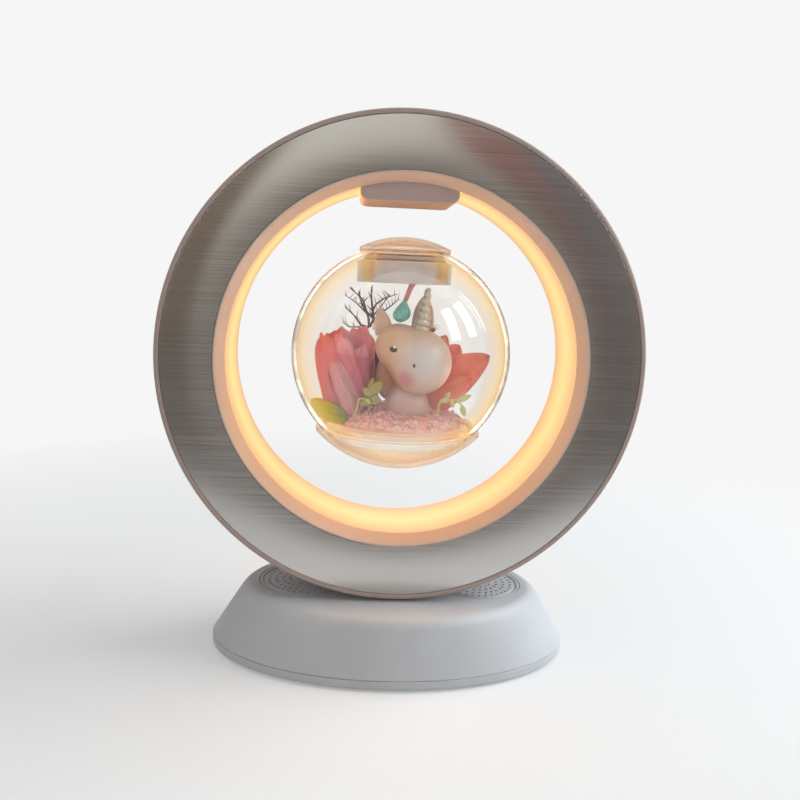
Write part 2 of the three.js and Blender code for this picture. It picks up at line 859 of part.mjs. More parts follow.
function baseShell() {
  const outer = toSolid(loft(sideRings(shellBottom, 0, rollSteps)));
  const hollow = toSolid(loft(sideRings(shellBottom - base.wall, base.wall, hollowRollSteps)));
  const posts = postPlaces().map(([x, y]) => {
    return uprightRod(base.postRadius, x, y, [coverBossTop + clearance, base.height]);
  });
  const pilotTop = coverScrewSeat + base.screwLength + clearance;
  const pilots = postPlaces().map(([x, y]) => uprightRod(shankHole, x, y, [0, pilotTop]));
  const openings = [-speaker.offset, speaker.offset].flatMap((x) => [
    uprightRod(speaker.grilleRadius + clearance, x, 0, [ledgeLevel, base.height + overrun], openingSides),
    uprightRod(speaker.grilleRadius - speaker.ledge, x, 0, [innerTop - overrun, base.height], openingSides),
  ]);
  const plugRoom = block(
    [-saddle.plugHalfLength - clearance, saddle.plugHalfLength + clearance],
    [-saddle.plugHalfWidth - clearance, saddle.plugHalfWidth + clearance],
    [innerTop - overrun, base.height + overrun],
  );
  const buttonHoles = buttonXs.map((x) => {
    const reach = [topHalfWidth / 2, base.bottomHalfWidth];
    return crossRod(button.radius + clearance, x, button.height, reach, coilSides);
  });
  const socketHole = crossRod(
    socket.barrelRadius + clearance,
    socket.x,
    socket.height,
    [topHalfWidth / 2, base.bottomHalfWidth],
    coilSides,
  );
  const posted = outer.subtract(hollow).add(join(posts).intersect(outer));
  return cut(posted, [...pilots, ...openings, plugRoom, ...buttonHoles, socketHole]);
}

function buttonBoardPlane() {
  const reach = Math.max(...buttonXs.map((x) => Math.abs(x))) + button.collarRadius;
  const inner = wallFace(reach, button.height + button.collarRadius) - base.wall - clearance;
  const stemEnd = inner - button.collarThickness - button.stemLength;
  return stemEnd - button.travel - clearance - button.plungerLength - button.switchDepth - button.boardThickness;
}

function bottomCover() {
  const side = sideAt(base.coverTop);
  const lipTop = base.coverTop + base.lipHeight;
  const lipSide = sideAt(lipTop);
  const fit = base.wall + clearance;
  const plate = toSolid(loft([
    oval(side.halfLength - base.coverEdge, side.halfWidth - base.coverEdge, base.footHeight),
    oval(side.halfLength, side.halfWidth, base.footHeight + base.coverEdge),
    oval(side.halfLength, side.halfWidth, base.coverTop),
    oval(side.halfLength - fit, side.halfWidth - fit, base.coverTop),
    oval(lipSide.halfLength - fit, lipSide.halfWidth - fit, lipTop),
    oval(lipSide.halfLength - fit - base.lipWall, lipSide.halfWidth - fit - base.lipWall, lipTop),
    oval(lipSide.halfLength - fit - base.lipWall, lipSide.halfWidth - fit - base.lipWall, coverFloor),
  ]));
  const bosses = postPlaces().map(([x, y]) => {
    return uprightRod(base.postRadius + screw.shankRadius, x, y, [base.coverTop / 2, coverBossTop]);
  });
  const standoffs = standoffPlaces().map(([x, y]) => {
    return uprightRod(board.standoffRadius, x, y, [base.coverTop / 2, coverFloor + board.standoffHeight]);
  });
  const cuts = postPlaces().flatMap(([x, y]) => [
    uprightRod(foot.radius + clearance, x, y, [0, footTop], coilSides),
    uprightRod(headHole, x, y, [0, coverScrewSeat + clearance]),
    uprightRod(shankHole, x, y, [0, coverBossTop + overrun]),
    uprightRod(base.postRadius + clearance, x, y, [coverBossTop, lipTop + overrun]),
  ]);
  const boardBack = buttonBoardPlane();
  const boardFront = boardBack + button.boardThickness;
  const clips = [buttonXs[0], buttonXs[buttonXs.length - 1]].map((x) => {
    const half = button.clipLength / 2;
    const edge = button.clipWall + clearance;
    const rise = [base.coverTop / 2, coverFloor + button.clipHeight];
    return block([x - half, x + half], [boardBack - edge, boardFront + edge], rise);
  });
  const slotHalf = Math.abs(buttonXs[0]) + button.clipLength + button.pitch;
  const slot = block(
    [-slotHalf, slotHalf],
    [boardBack - clearance, boardFront + clearance],
    [coverFloor, coverFloor + button.clipHeight + overrun],
  );
  return cut(join([plate, ...bosses, ...standoffs, ...clips]), [...cuts, slot]);
}

function standoffPlaces() {
  const { standoffX, standoffY } = board;
  return [[standoffX, standoffY], [-standoffX, standoffY], [-standoffX, -standoffY], [standoffX, -standoffY]];
}

function rubberFoot() {
  const profile = [
    vector(0, 0),
    vector(foot.radius - foot.edge, 0),
    vector(foot.radius, foot.edge),
    vector(foot.radius, footTop - clearance),
    vector(0, footTop - clearance),
  ];
  return turned(profile, coilSides);
}

// The perforated disc: a centre hole and rings of holes, with a groove round its edge.
function speakerGrille() {
  const bottom = ledgeLevel + clearance;
  const groove = speaker.grilleRadius - speaker.grooveWidth;
  const innerGroove = groove - speaker.grooveWidth;
  const profile = [
    vector(0, bottom),
    vector(speaker.grilleRadius, bottom),
    vector(speaker.grilleRadius, base.height),
    vector(groove, base.height),
    vector(groove, base.height - speaker.grooveDepth),
    vector(innerGroove, base.height - speaker.grooveDepth),
    vector(innerGroove, base.height),
    vector(0, base.height),
  ];
  const holes = [grilleHole(0, 0)];
  for (let r = 1; r <= speaker.holeRings; r += 1) {
    const count = r * speaker.holesPerTurn;
    const reach = r * speaker.holePitch;
    for (let i = 0; i < count; i += 1) {
      const angle = (2 * Math.PI * i) / count;
      holes.push(grilleHole(reach * Math.cos(angle), reach * Math.sin(angle)));
    }
  }
  return cut(toSolid(turned(profile, openingSides)), [join(holes)]);
}

function grilleHole(x, y) {
  return uprightRod(speaker.holeRadius, x, y, [innerTop - overrun, base.height + overrun], holeSides);
}

const flangeLevel = innerTop - clearance;
const basketTop = flangeLevel - speaker.flangeThickness;
const basketBottom = basketTop - speaker.basketDepth;

function speakerFrame() {
  const wall = speaker.basketWall;
  const rim = speaker.grilleRadius - speaker.ledge - wall;
  const floorRadius = speaker.basketFloorRadius;
  const profile = [
    vector(speaker.magnetHoleRadius, basketBottom),
    vector(floorRadius, basketBottom),
    vector(rim, basketTop),
    vector(speaker.flangeRadius, basketTop),
    vector(speaker.flangeRadius, flangeLevel),
    vector(rim - wall, flangeLevel),
    vector(rim - wall, basketTop),
    vector(floorRadius - wall, basketBottom + wall),
    vector(speaker.magnetHoleRadius, basketBottom + wall),
  ];
  return turned(closed(profile), speakerSides);
}

// The paper cone with its dust cap and rolled edge, seated on the frame's step.
function speakerCone() {
  const outer = speaker.grilleRadius - speaker.ledge - 2 * speaker.basketWall - clearance;
  const edge = outer - speaker.surroundWidth;
  const top = flangeLevel - speaker.coneWall;
  const throat = top - speaker.coneDepth;
  const wall = speaker.coneWall;
  const profile = [
    vector(0, throat),
    vector(speaker.dustCapRadius, throat),
    vector(edge, top - wall),
    vector(outer, top - wall),
    vector(outer, top),
    vector((edge + outer) / 2, top + wall),
    vector(edge, top),
    vector(speaker.dustCapRadius, throat + wall),
    vector(speaker.dustCapRadius / 2, throat + 2 * wall),
    vector(0, throat + 2 * wall),
  ];
  return turned(profile, speakerSides);
}

function speakerMagnet() {
  const top = basketBottom - clearance;
  return uprightRod(speaker.magnetRadius, 0, 0, [top - speaker.magnetHeight, top], speakerSides);
}

const boardBottom = coverFloor + board.standoffHeight + clearance;
const boardTop = boardBottom + board.thickness;

function mainBoard() {
  const plate = block(
    [-board.halfLength, board.halfLength],
    [-board.halfWidth, board.halfWidth],
    [boardBottom, boardTop],
  );
  const half = board.coilChipLength / 2;
  const coilChip = block([-half, half], [-half, half], [boardBottom, boardTop + board.coilChipHeight]);
  const cans = [-1, 1].map((side) => {
    const can = [boardBottom, boardTop + board.capacitorHeight];
    return uprightRod(board.capacitorRadius, side * board.capacitorX, -board.capacitorY, can);
  });
  const plugHalf = board.connectorLength / 2;
  const plugY = board.halfWidth - board.connectorWidth;
  const plugs = [-1, 1].map((side) => {
    const x = side * (board.halfLength - board.connectorLength);
    const plugRise = [boardBottom, boardTop + board.connectorHeight];
    return block([x - plugHalf, x + plugHalf], [plugY, board.halfWidth], plugRise);
  });
  return join([plate, coilChip, ...cans, ...plugs]);
}

function buttonBoard() {
  const back = buttonBoardPlane();
  const front = back + button.boardThickness;
  const bottom = coverFloor + clearance;
  const half = button.switchSize / 2;
  const reach = half + button.boardMargin;
  const plate = block(
    [buttonXs[0] - reach, buttonXs[buttonXs.length - 1] + reach],
    [back, front],
    [bottom, bottom + button.boardHeight],
  );
  const switches = buttonXs.flatMap((x) => [
    block([x - half, x + half], [back, front + button.switchDepth], [button.height - half, button.height + half]),
    crossRod(button.plungerRadius, x, button.height, [back, front + button.switchDepth + button.plungerLength]),
  ]);
  return join([plate, ...switches]);
}

// A button with its domed cap through the wall, a collar behind the wall and a stem to its switch.
function buttonShape(x) {
  const face = wallFace(x, button.height) + button.proud;
  const reach = Math.abs(x) + button.collarRadius;
  const collarFront = wallFace(reach, button.height + button.collarRadius) - base.wall - clearance;
  const collarBack = collarFront - button.collarThickness;
  const frontOfBoard = buttonBoardPlane() + button.boardThickness;
  const stemEnd = frontOfBoard + button.switchDepth + button.plungerLength + clearance + button.travel;
  const profile = [
    vector(0, stemEnd),
    vector(button.stemRadius, stemEnd),
    vector(button.stemRadius, collarBack),
    vector(button.collarRadius, collarBack),
    vector(button.collarRadius, collarFront),
    vector(button.radius, collarFront),
    vector(button.radius, face - button.edge),
    vector(button.radius - button.edge, face),
    vector(0, face),
  ];
  return new THREE.LatheGeometry(profile, coilSides).translate(x, 0, button.height);
}

function powerSocket() {
  const face = wallFace(socket.x + socket.barrelRadius, socket.height);
  const reach = socket.x + socket.bodyHalfLength;
  const bodyFront = wallFace(reach, socket.height + socket.bodyHeight / 2) - base.wall - clearance;
  const bodyBack = bodyFront - socket.bodyDepth;
  const body = block(
    [socket.x - socket.bodyHalfLength, socket.x + socket.bodyHalfLength],
    [bodyBack, bodyFront],
    [coverFloor + clearance, socket.height + socket.bodyHalfLength],
  );
  const barrel = crossRod(socket.barrelRadius, socket.x, socket.height, [bodyBack, face], coilSides);
  const boreReach = [face - socket.boreDepth, face + overrun];
  const bore = crossRod(socket.boreRadius, socket.x, socket.height, boreReach, coilSides);
  const pinReach = [bodyBack + socket.pinRadius, face - socket.pinRadius];
  const pin = crossRod(socket.pinRadius, socket.x, socket.height, pinReach);
  return body.add(barrel).subtract(bore).add(pin);
}

// The saddle: a plug through the housing's top under a cradle that follows the ring.
function ringSaddle() {
  const plugBottom = innerTop - saddle.plugReach;
  const cradle = block(
    [-saddle.halfLength, saddle.halfLength],
    [-saddle.halfWidth, saddle.halfWidth],
    [base.height + clearance, base.height + saddle.lift + overrun],
  );
  const plug = block(
    [-saddle.plugHalfLength, saddle.plugHalfLength],
    [-saddle.plugHalfWidth, saddle.plugHalfWidth],
    [plugBottom, base.height + saddle.lift],
  );
  const ringRoom = crossRod(
    ring.outerRadius + clearance,
    0,
    ringLevel,
    [-saddle.halfWidth - overrun, saddle.halfWidth + overrun],
    2 * ringSides,
  );
  const hole = [0, base.height + saddle.lift + overrun];
  const screwHoles = [-1, 1].map((side) => uprightRod(shankHole, 0, side * saddle.screwOffset, hole));
  return cut(cradle.add(plug), [ringRoom, uprightRod(ring.leadHoleRadius, 0, 0, hole), ...screwHoles]);
}

function buildBase() {
  const group = new THREE.Group();
  part(group, 'ring_saddle', ringSaddle(), 'basePlastic');
  [['saddle_screw_front', -1], ['saddle_screw_rear', 1]].forEach(([name, side]) => {
    const mesh = part(group, name, screwShape(saddle.screwLength), 'screwSteel');
    mesh.rotation.x = Math.PI;
    mesh.position.set(0, side * saddle.screwOffset, innerTop - saddle.plugReach - clearance);
  });
  part(group, 'base_shell', baseShell(), 'basePlastic');
  part(group, 'base_bottom_cover', bottomCover(), 'basePlastic');
  [['left', -1], ['right', 1]].forEach(([name, side]) => {
    const speakerGroup = new THREE.Group();
    speakerGroup.position.x = side * speaker.offset;
    group.add(speakerGroup);
    part(speakerGroup, `speaker_grille_${name}`, speakerGrille(), 'basePlastic');
    part(speakerGroup, `speaker_frame_${name}`, speakerFrame(), 'iron');
    part(speakerGroup, `speaker_cone_${name}`, speakerCone(), 'paper');
    part(speakerGroup, `speaker_magnet_${name}`, speakerMagnet(), 'iron');
  });
  part(group, 'main_board', mainBoard(), 'circuit');
  part(group, 'button_board', buttonBoard(), 'circuit');
  part(group, 'power_socket', powerSocket(), 'darkPlastic');
  ['button_minus', 'button_power', 'button_plus'].forEach((name, i) => {
    part(group, name, buttonShape(buttonXs[i]), 'basePlastic');
  });
  postPlaces().forEach(([x, y], i) => {
    part(group, `rubber_foot_${i + 1}`, rubberFoot(), 'rubber').position.set(x, y, 0);
    const mesh = part(group, `cover_screw_${i + 1}`, screwShape(base.screwLength), 'screwSteel');
    mesh.rotation.x = Math.PI;
    mesh.position.set(x, y, coverScrewSeat);
  });
  return group;
}

// The ball: a clear sphere with a domed cap on top and a domed cup below.
function ballShell() {
  const outer = [];
  const inner = [];
  const low = Math.asin(bottomLevel / ball.radius);
  const high = Math.acos(ball.topHoleRadius / ball.radius);
  const lowInner = Math.asin(bottomLevel / clearRadius);
  const highInner = Math.acos(ball.topHoleRadius / clearRadius);
  for (let i = 0; i <= shellSteps; i += 1) {
    const angle = low + ((high - low) * i) / shellSteps;
    const innerAngle = highInner + ((lowInner - highInner) * i) / shellSteps;
    outer.push(vector(ball.radius * Math.cos(angle), ball.radius * Math.sin(angle)));
    inner.push(vector(clearRadius * Math.cos(innerAngle), clearRadius * Math.sin(innerAngle)));
  }
  return turned(closed([...outer, ...inner]), ballSides);
}

function ballTopCap() {
  const rimSeat = sphereLevel(ball.radius, capRimRadius) + clearance;
  const rise = capTop - rimSeat - ball.capRimHeight;
  const dome = domeRadius(capRimRadius, rise);
  const spigot = ball.topHoleRadius - clearance;
  const spigotBottom = sphereLevel(clearRadius, ball.topHoleRadius) - ball.spigotReach + ball.wall;
  const innerDome = dome - ball.capWall;
  const hole = spigot - ball.spigotWall;
  const profile = [
    vector(0, capTop - ball.capWall),
    ...arcProfile(innerDome, capTop - dome, 0, hole, 1).slice(1),
    vector(hole, spigotBottom),
    vector(spigot, spigotBottom),
    vector(spigot, sphereLevel(ball.radius, spigot) + clearance),
    vector(capRimRadius, rimSeat),
    ...arcProfile(dome, capTop - dome, capRimRadius, 0, 1),
  ];
  return turned(profile, ballSides);
}

function ballBottomCap() {
  const rimTop = bottomLevel - clearance;
  const rimLow = rimTop - ball.cupRimHeight;
  const rise = rimLow - cupBottom;
  const dome = domeRadius(cupRimRadius, rise);
  const centre = cupBottom + dome;
  const innerDome = dome - ball.cupWall;
  const rimInner = cupRimRadius - ball.cupRimWidth;
  const profile = [
    ...arcProfile(dome, centre, 0, cupRimRadius, -1),
    vector(cupRimRadius, rimTop),
    vector(rimInner, rimTop),
    ...arcProfile(innerDome, centre, rimInner, 0, -1),
  ];
  return turned(profile, ballSides);
}

const floorTop = bottomLevel + ball.floorThickness;

// A clear disc with a bevelled edge that wedges into the narrowing bottom of the sphere.
function ballFloor() {
  const fit = clearRadius - clearance;
  const profile = [
    vector(0, bottomLevel),
    vector(sphereLevel(fit, bottomLevel) - clearance, bottomLevel),
    vector(sphereLevel(fit, floorTop) - clearance, floorTop),
    vector(0, floorTop),
  ];
  return turned(profile, ballSides);
}

const holderTop = sphereLevel(clearRadius, ball.topHoleRadius) - ball.spigotReach + ball.wall - clearance;
const holderBottom = holderTop - magnet.holderThickness;
const magnetTop = holderBottom - clearance;
const magnetBottom = magnetTop - magnet.height;

function magnetHolder() {
  const pin = magnet.holeRadius - clearance;
  const headTop = magnetBottom + magnet.recessDepth - clearance;
  const profile = [
    vector(0, magnetBottom),
    vector(magnet.pinHeadRadius, magnetBottom),
    vector(magnet.pinHeadRadius, headTop),
    vector(pin, headTop),
    vector(pin, holderBottom),
    vector(magnet.holderRadius, holderBottom),
    vector(magnet.holderRadius, holderTop),
    vector(0, holderTop),
  ];
  return turned(profile, ballSides / 2);
}

function floatMagnet() {
  const profile = [
    vector(magnet.recessRadius, magnetBottom),
    vector(magnet.radius, magnetBottom),
    vector(magnet.radius, magnetTop),
    vector(magnet.holeRadius, magnetTop),
    vector(magnet.holeRadius, magnetBottom + magnet.recessDepth),
    vector(magnet.recessRadius, magnetBottom + magnet.recessDepth),
  ];
  return turned(closed(profile), ballSides);
}

// The bed of fine gravel: a low mound with a rippled edge, grown by a margin when it cuts.
function bedShape(margin) {
  const bottom = floorTop + clearance - margin;
  const top = floorTop + clearance + bed.innerHeight + margin;
  const middleLevel = THREE.MathUtils.lerp(bottom, top, bedSlope_share);
  const edge = (level) => sphereLevel(clearRadius, level) - bed.edgeGap + margin;
  const ripple = (angle) => bed.rippleHeight * Math.sin(bed.rippleCount * angle);
  const up = new THREE.Vector3(0, 0, 1);
  const ringAt = (level, share) => {
    const centre = new THREE.Vector3(0, 0, level);
    return ringAbout(centre, up, bedSides, (angle) => (edge(level) - ripple(angle)) * share);
  };
  return toSolid(loft([
    ringAt(bottom, 1),
    ringAt(middleLevel, 1),
    ringAt(THREE.MathUtils.lerp(middleLevel, top, bedSlope_share), bedTurn_share),
    ringAt(top, bedCrown_share),
  ]));
}

function bodyShape(margin) {
  const centre = place(body_share);
  const bottom = floorTop + 2 * clearance - margin;
  const rise = figure.bodyTop - bottom + margin;
  const profile = bodyProfile_shares.map(([across, up]) => {
    return vector(across * figure.bodyRadius + Math.sign(across) * margin, bottom + up * rise);
  });
  return toSolid(turned(profile, coilSides)).translate([centre.x, centre.y, 0]);
}

function headCore(margin) {
  const skull = sphere(place(skull_share), figure.skullRadius + margin, coilSides);
  const muzzle = sphere(place(muzzle_share), figure.muzzleRadius + margin, coilSides);
  return skull.add(muzzle);
}

function figureHead() {
  const ears = earBase_shares.map((share, i) => {
    return taper(place(share), place(earTip_shares[i]), figure.earRadius, figure.earTipRadius, pinSides);
  });
  return join([headCore(0), ...ears]).subtract(bodyShape(clearance));
}

function earRoom() {
  return join(earBase_shares.map((share, i) => {
    const [from, to] = [place(share), place(earTip_shares[i])];
    return taper(from, to, figure.earRadius + clearance, figure.earTipRadius + clearance, pinSides);
  }));
}

// The horn: a cone with raised ribs, seated on the head.
function figureHorn() {
  const [from, to] = [place(hornBase_share), place(hornTip_share)];
  const direction = to.clone().sub(from).normalize();
  const rings = [];
  const steps = 2 * figure.hornRibCount;
  for (let i = 0; i <= steps; i += 1) {
    const along = i / steps;
    const rib = i % 2 === 0 ? figure.hornRibDepth : 0;
    const radius = THREE.MathUtils.lerp(figure.hornRadius, figure.hornTipRadius, along) + rib;
    const centre = from.clone().addScaledVector(direction, along * figure.hornLength);
    rings.push(ringAbout(centre, direction, pinSides, () => radius));
  }
  return cut(toSolid(loft(rings)), [headCore(clearance), earRoom()]);
}

// A drop that stands on its round end on the brow.
function gemShape(margin) {
  const centre = place(gem_share);
  const profile = gemProfile_shares.map(([across, up]) => {
    return vector(across * (figure.gemRadius + margin), up * (figure.gemLength + 2 * margin));
  });
  return toSolid(turned(profile, coilSides / 2)).translate([centre.x, centre.y, centre.z]);
}

function figurePlume() {
  const root = place(gem_share);
  const tip = place(plumeTip_share);
  const direction = tip.clone().sub(root).normalize();
  const from = tip.clone().addScaledVector(direction, -figure.plumeLength);
  const plume = taper(from, tip, figure.plumeRadius, figure.plumeTipRadius, pinSides);
  return cut(plume, [gemShape(clearance), hornRoom()]);
}

function hornRoom() {
  const [from, to] = [place(hornBase_share), place(hornTip_share)];
  const growth = figure.hornRibDepth + clearance;
  return taper(from, to, figure.hornRadius + growth, figure.hornTipRadius + growth, pinSides);
}

// A half-open rose: a bulb whose wall waves like overlapping petals round a sunken heart.
function bloomShape(margin) {
  const centre = place(bloom_share);
  const bottom = bedTop() - bed.innerHeight / 2;
  const up = new THREE.Vector3(0, 0, 1);
  const rings = bloomProfile_shares.map(([across, height], i) => {
    const level = new THREE.Vector3(centre.x, centre.y, bottom + height * bloom.height);
    const phase = i * bloomTwist_share * 2 * Math.PI;
    return ringAbout(level, up, bloomSides, (angle) => {
      const wave = 1 + petalWave_share * Math.sin(bloom.waveCount * angle + phase) * Math.min(1, 2 * height);
      return (bloom.radius * across + margin) * wave;
    });
  });
  return toSolid(loft(rings));
}

function bedTop() {
  return floorTop + clearance + bed.innerHeight;
}

// A petal or leaf: a thin curved blade between its root and its tip.
function blade(from, to, halfWidth, thickness, cup, growth) {
  const along = to.clone().sub(from);
  const across = new THREE.Vector3().crossVectors(along, new THREE.Vector3(0, 1, 0)).normalize();
  const face = new THREE.Vector3().crossVectors(across, along).normalize();
  const rings = bladeProfile_shares.map(([step, width]) => {
    const centre = from.clone().addScaledVector(along, step);
    const bow = cup * Math.sin(Math.PI * step);
    const half = halfWidth * width + growth;
    return [[-1, 0], [0, 1], [1, 0], [0, -1]].map(([side, depth]) => {
      const out = bow * (1 - Math.abs(side)) + depth * (thickness / 2 + growth);
      return centre.clone().addScaledVector(across, side * half).addScaledVector(face, out);
    });
  });
  return toSolid(loft(rings));
}

function coralPetals() {
  const root = place(petalRoot_share);
  const petals = petalTip_shares.map((share) => {
    return blade(root, place(share), petal.halfWidth, petal.thickness, petal.cup, 0);
  });
  return cut(join(petals), [bedShape(clearance), bodyShape(clearance), headCore(clearance)]);
}

function leafShape(growth) {
  return blade(place(leafRoot_share), place(leafTip_share), leaf.halfWidth, leaf.thickness, leaf.cup, growth);
}

function greenSprig() {
  const root = place(sprigRoot_share);
  const stalks = sprigTip_shares.flatMap((share) => {
    const tip = place(share);
    const stalk = taper(root, tip, sprig.stalkRadius, sprig.stalkRadius, stalkSides);
    return [stalk, sphere(tip, sprig.leafRadius, pinSides)];
  });
  const clump = sphere(root, sprig.clumpRadius, coilSides);
  return cut(join([clump, ...stalks]), [bedShape(clearance)]);
}

// A dry twig that forks into thin spikes behind the head.
function driedTwig() {
  const fork = place(twigFork_share);
  const stem = taper(place(twigRoot_share), fork, twig.stemRadius, twig.stemRadius, stalkSides);
  const spikes = twigTip_shares.map((share) => {
    return taper(fork, place(share), twig.stemRadius, twig.tipRadius, stalkSides);
  });
  const knot = sphere(fork, twig.stemRadius, pinSides);
  return cut(join([stem, knot, ...spikes]), [bedShape(clearance), headCore(clearance), bloomShape(clearance)]);
}

function buildBall() {
  const group = new THREE.Group();
  group.position.z = ringLevel + ball.rise;
  part(group, 'ball_shell', ballShell(), 'clear');
  part(group, 'ball_top_cap', ballTopCap(), 'clear');
  part(group, 'ball_bottom_cap', ballBottomCap(), 'clear');
  part(group, 'ball_floor', ballFloor(), 'clear');
  part(group, 'magnet_holder', magnetHolder(), 'darkPlastic');
  part(group, 'float_magnet', floatMagnet(), 'nickel');
  part(group, 'gravel_bed', cut(bedShape(0), [bodyShape(clearance)]), 'gravelPink');
  part(group, 'figure_body', bodyShape(0), 'figureCream');
  part(group, 'figure_head', figureHead(), 'figureCream');
  part(group, 'figure_horn', figureHorn(), 'hornSilver');
  const gemRooms = [headCore(clearance), earRoom(), hornRoom()];
  part(group, 'figure_gem', cut(gemShape(0), gemRooms), 'gemTeal');
  part(group, 'figure_plume', figurePlume(), 'coral');
  const bloomRooms = [bedShape(clearance), headCore(clearance), bodyShape(clearance)];
  part(group, 'rose_bloom', cut(bloomShape(0), bloomRooms), 'rose');
  part(group, 'coral_petals', coralPetals(), 'coral');
  part(group, 'rose_leaf', cut(leafShape(0), [bedShape(clearance), bloomShape(clearance)]), 'leafGreen');
  part(group, 'green_sprig', greenSprig(), 'leafGreen');
  part(group, 'dried_twig', driedTwig(), 'twigBrown');
  return group;
}

const lamp = new THREE.Group();
lamp.add(buildBase(), buildRing(), buildBall());
export default lamp;
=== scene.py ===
"""Finished surfaces for a floating flower lamp, set around its frame of plain solids.

An upright ring with a band of warm light stands on an oval speaker base, and a clear ball
with a small figure among flowers floats in the ring's opening. Every surface is a grid of
points worked out with numpy as a function of two parameters. Lengths are metres.
"""

import json
import math

import bmesh
import bpy
import numpy as np
from bpy.props import FloatProperty, FloatVectorProperty, IntProperty, PointerProperty
from bpy.types import Operator, Panel, PropertyGroup
from mathutils import Matrix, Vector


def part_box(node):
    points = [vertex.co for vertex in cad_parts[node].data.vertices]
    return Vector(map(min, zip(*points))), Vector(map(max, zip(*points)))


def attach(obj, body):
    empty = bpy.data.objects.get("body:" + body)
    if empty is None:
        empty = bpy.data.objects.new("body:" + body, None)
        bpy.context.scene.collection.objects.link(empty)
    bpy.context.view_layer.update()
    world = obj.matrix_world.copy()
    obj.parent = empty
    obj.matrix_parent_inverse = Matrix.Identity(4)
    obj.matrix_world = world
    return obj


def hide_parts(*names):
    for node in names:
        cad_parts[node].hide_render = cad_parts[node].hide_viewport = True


bl_info = {
    "name": "Floating Flower Lamp",
    "version": (1, 0, 0),
    "blender": (4, 5, 0),
    "location": "View3D > Sidebar > Flower Lamp",
    "description": "Finishes a floating flower lamp over its frame of plain solids",
    "category": "Add Mesh",
}

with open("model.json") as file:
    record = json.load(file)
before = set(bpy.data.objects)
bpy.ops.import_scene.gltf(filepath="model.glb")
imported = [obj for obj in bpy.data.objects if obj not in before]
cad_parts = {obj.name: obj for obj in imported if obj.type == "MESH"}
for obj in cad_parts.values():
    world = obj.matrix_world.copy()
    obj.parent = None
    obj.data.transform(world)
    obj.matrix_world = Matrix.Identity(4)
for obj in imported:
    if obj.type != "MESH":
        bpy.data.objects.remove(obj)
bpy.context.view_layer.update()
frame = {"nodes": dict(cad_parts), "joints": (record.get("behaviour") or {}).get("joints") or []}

TURN = 2 * math.pi
MM = 0.001
UP = np.array([0.0, 0.0, 1.0])


def low(node):
    """Lowest corner of a frame node."""
    return np.array(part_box(node)[0])


def high(node):
    """Highest corner of a frame node."""
    return np.array(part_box(node)[1])


def centre_of(node):
    """Middle of a frame node's box."""
    return (low(node) + high(node)) / 2


def half_across(node):
    """Half the width of a frame node along X."""
    return (high(node)[0] - low(node)[0]) / 2


def joint(name):
    """The frame's record of one joint."""
    return next(entry for entry in frame["joints"] if entry["name"] == name)


RING_CENTRE = np.array([0.0, 0.0, centre_of("ring_rear_shell")[2]])
BALL_CENTRE = np.array(joint("ball_spin")["pos_m"], dtype=float)


def length(name, description, default):
    """A size that a user can change, in metres."""
    return FloatProperty(
        name=name, description=description, default=float(default), min=0.0, precision=5, unit="LENGTH"
    )


def place(name, description, default):
    """A place in metres, counted from the ball's centre."""
    return FloatVectorProperty(
        name=name, description=description, default=default, size=len(default), precision=5, subtype="XYZ",
        unit="LENGTH",
    )


def linear(red, green, blue):
    """Linear colour of display values from 0 to 255."""
    share = np.array([red, green, blue]) / 255
    return tuple(float(c) for c in np.where(share <= 0.04045, share / 12.92, ((share + 0.055) / 1.055) ** 2.4))


def colour(name, description, red, green, blue):
    """A colour that a user can change, given as display values from 0 to 255."""
    return FloatVectorProperty(
        name=name, description=description, default=linear(red, green, blue), size=3, min=0.0, max=1.0,
        subtype="COLOR",
    )


class RingSizes(PropertyGroup):
    """Sizes of the upright ring."""

    outer_radius: length("Outer radius", "Radius of the outer rim", high("ring_rear_shell")[0])
    half_depth: length("Half depth", "Half the ring's depth", high("ring_rear_shell")[1])
    wall: length("Wall", "Wall of the outer rim", 0.002)
    seam: length("Half seam", "Half the gap between the two shells", 0.00015)
    tongue: length("Tongue", "Length of the tongue at the seam", 0.0015)
    rim_fillet: length("Rim fillet", "Rounding of the outer edges", 0.001)
    opening_radius: length("Opening radius", "Radius of the light band", high("light_diffuser")[0] - 0.002)
    diffuser_wall: length("Diffuser wall", "Thickness of the light band", 0.002)
    diffuser_half: length("Diffuser half width", "Half the light band's width", high("light_diffuser")[1])
    lip_end: length("Lip end", "Depth at which the slanted lip meets the light band", 0.015)
    lip_flat: length("Lip flat", "Width of the lip's flat edge", 0.0006)
    shelf: length("Shelf", "Depth of the ledge that carries the diffuser", 0.003)
    carrier_radius: length("Carrier radius", "Outer radius of the wall behind the light band", 0.0696)
    carrier_wall: length("Carrier wall", "Wall behind the light band", 0.0016)
    face_wall: length("Face wall", "Wall under the steel plate", 0.002)
    plate_inner: length("Plate inner radius", "Inner radius of the steel plate", 0.0653)
    plate_outer: length("Plate outer radius", "Outer radius of the steel plate", high("rear_face_plate")[0])
    plate_face: length("Plate face", "Depth of the steel plate's face", high("rear_face_plate")[1])
    plate_back: length("Plate back", "Depth of the steel plate's back", low("rear_face_plate")[1])
    gap: length("Gap", "Clearance between fitted pieces", 0.0003)
    fine_edge: length("Fine edge", "Rounding of moulded edges", 0.0003)
    pod_wall: length("Pod wall", "Wall of the pod beside its board, with the air between them", 0.0019)
    pod_fillet: length("Pod fillet", "Rounding of the pod's lower corners", 0.0034)
    # Radii over which painted shade darkens the shells towards their outer rim.
    rim_shade_start: length("Rim tone start", "Radius at which the rim's darker tone sets in", 0.07)
    rim_shade_full: length("Rim tone full", "Radius from which the rim's darker tone is full", 0.08)
    steps: IntProperty(name="Steps", description="Grid steps round the ring", default=256, min=24)


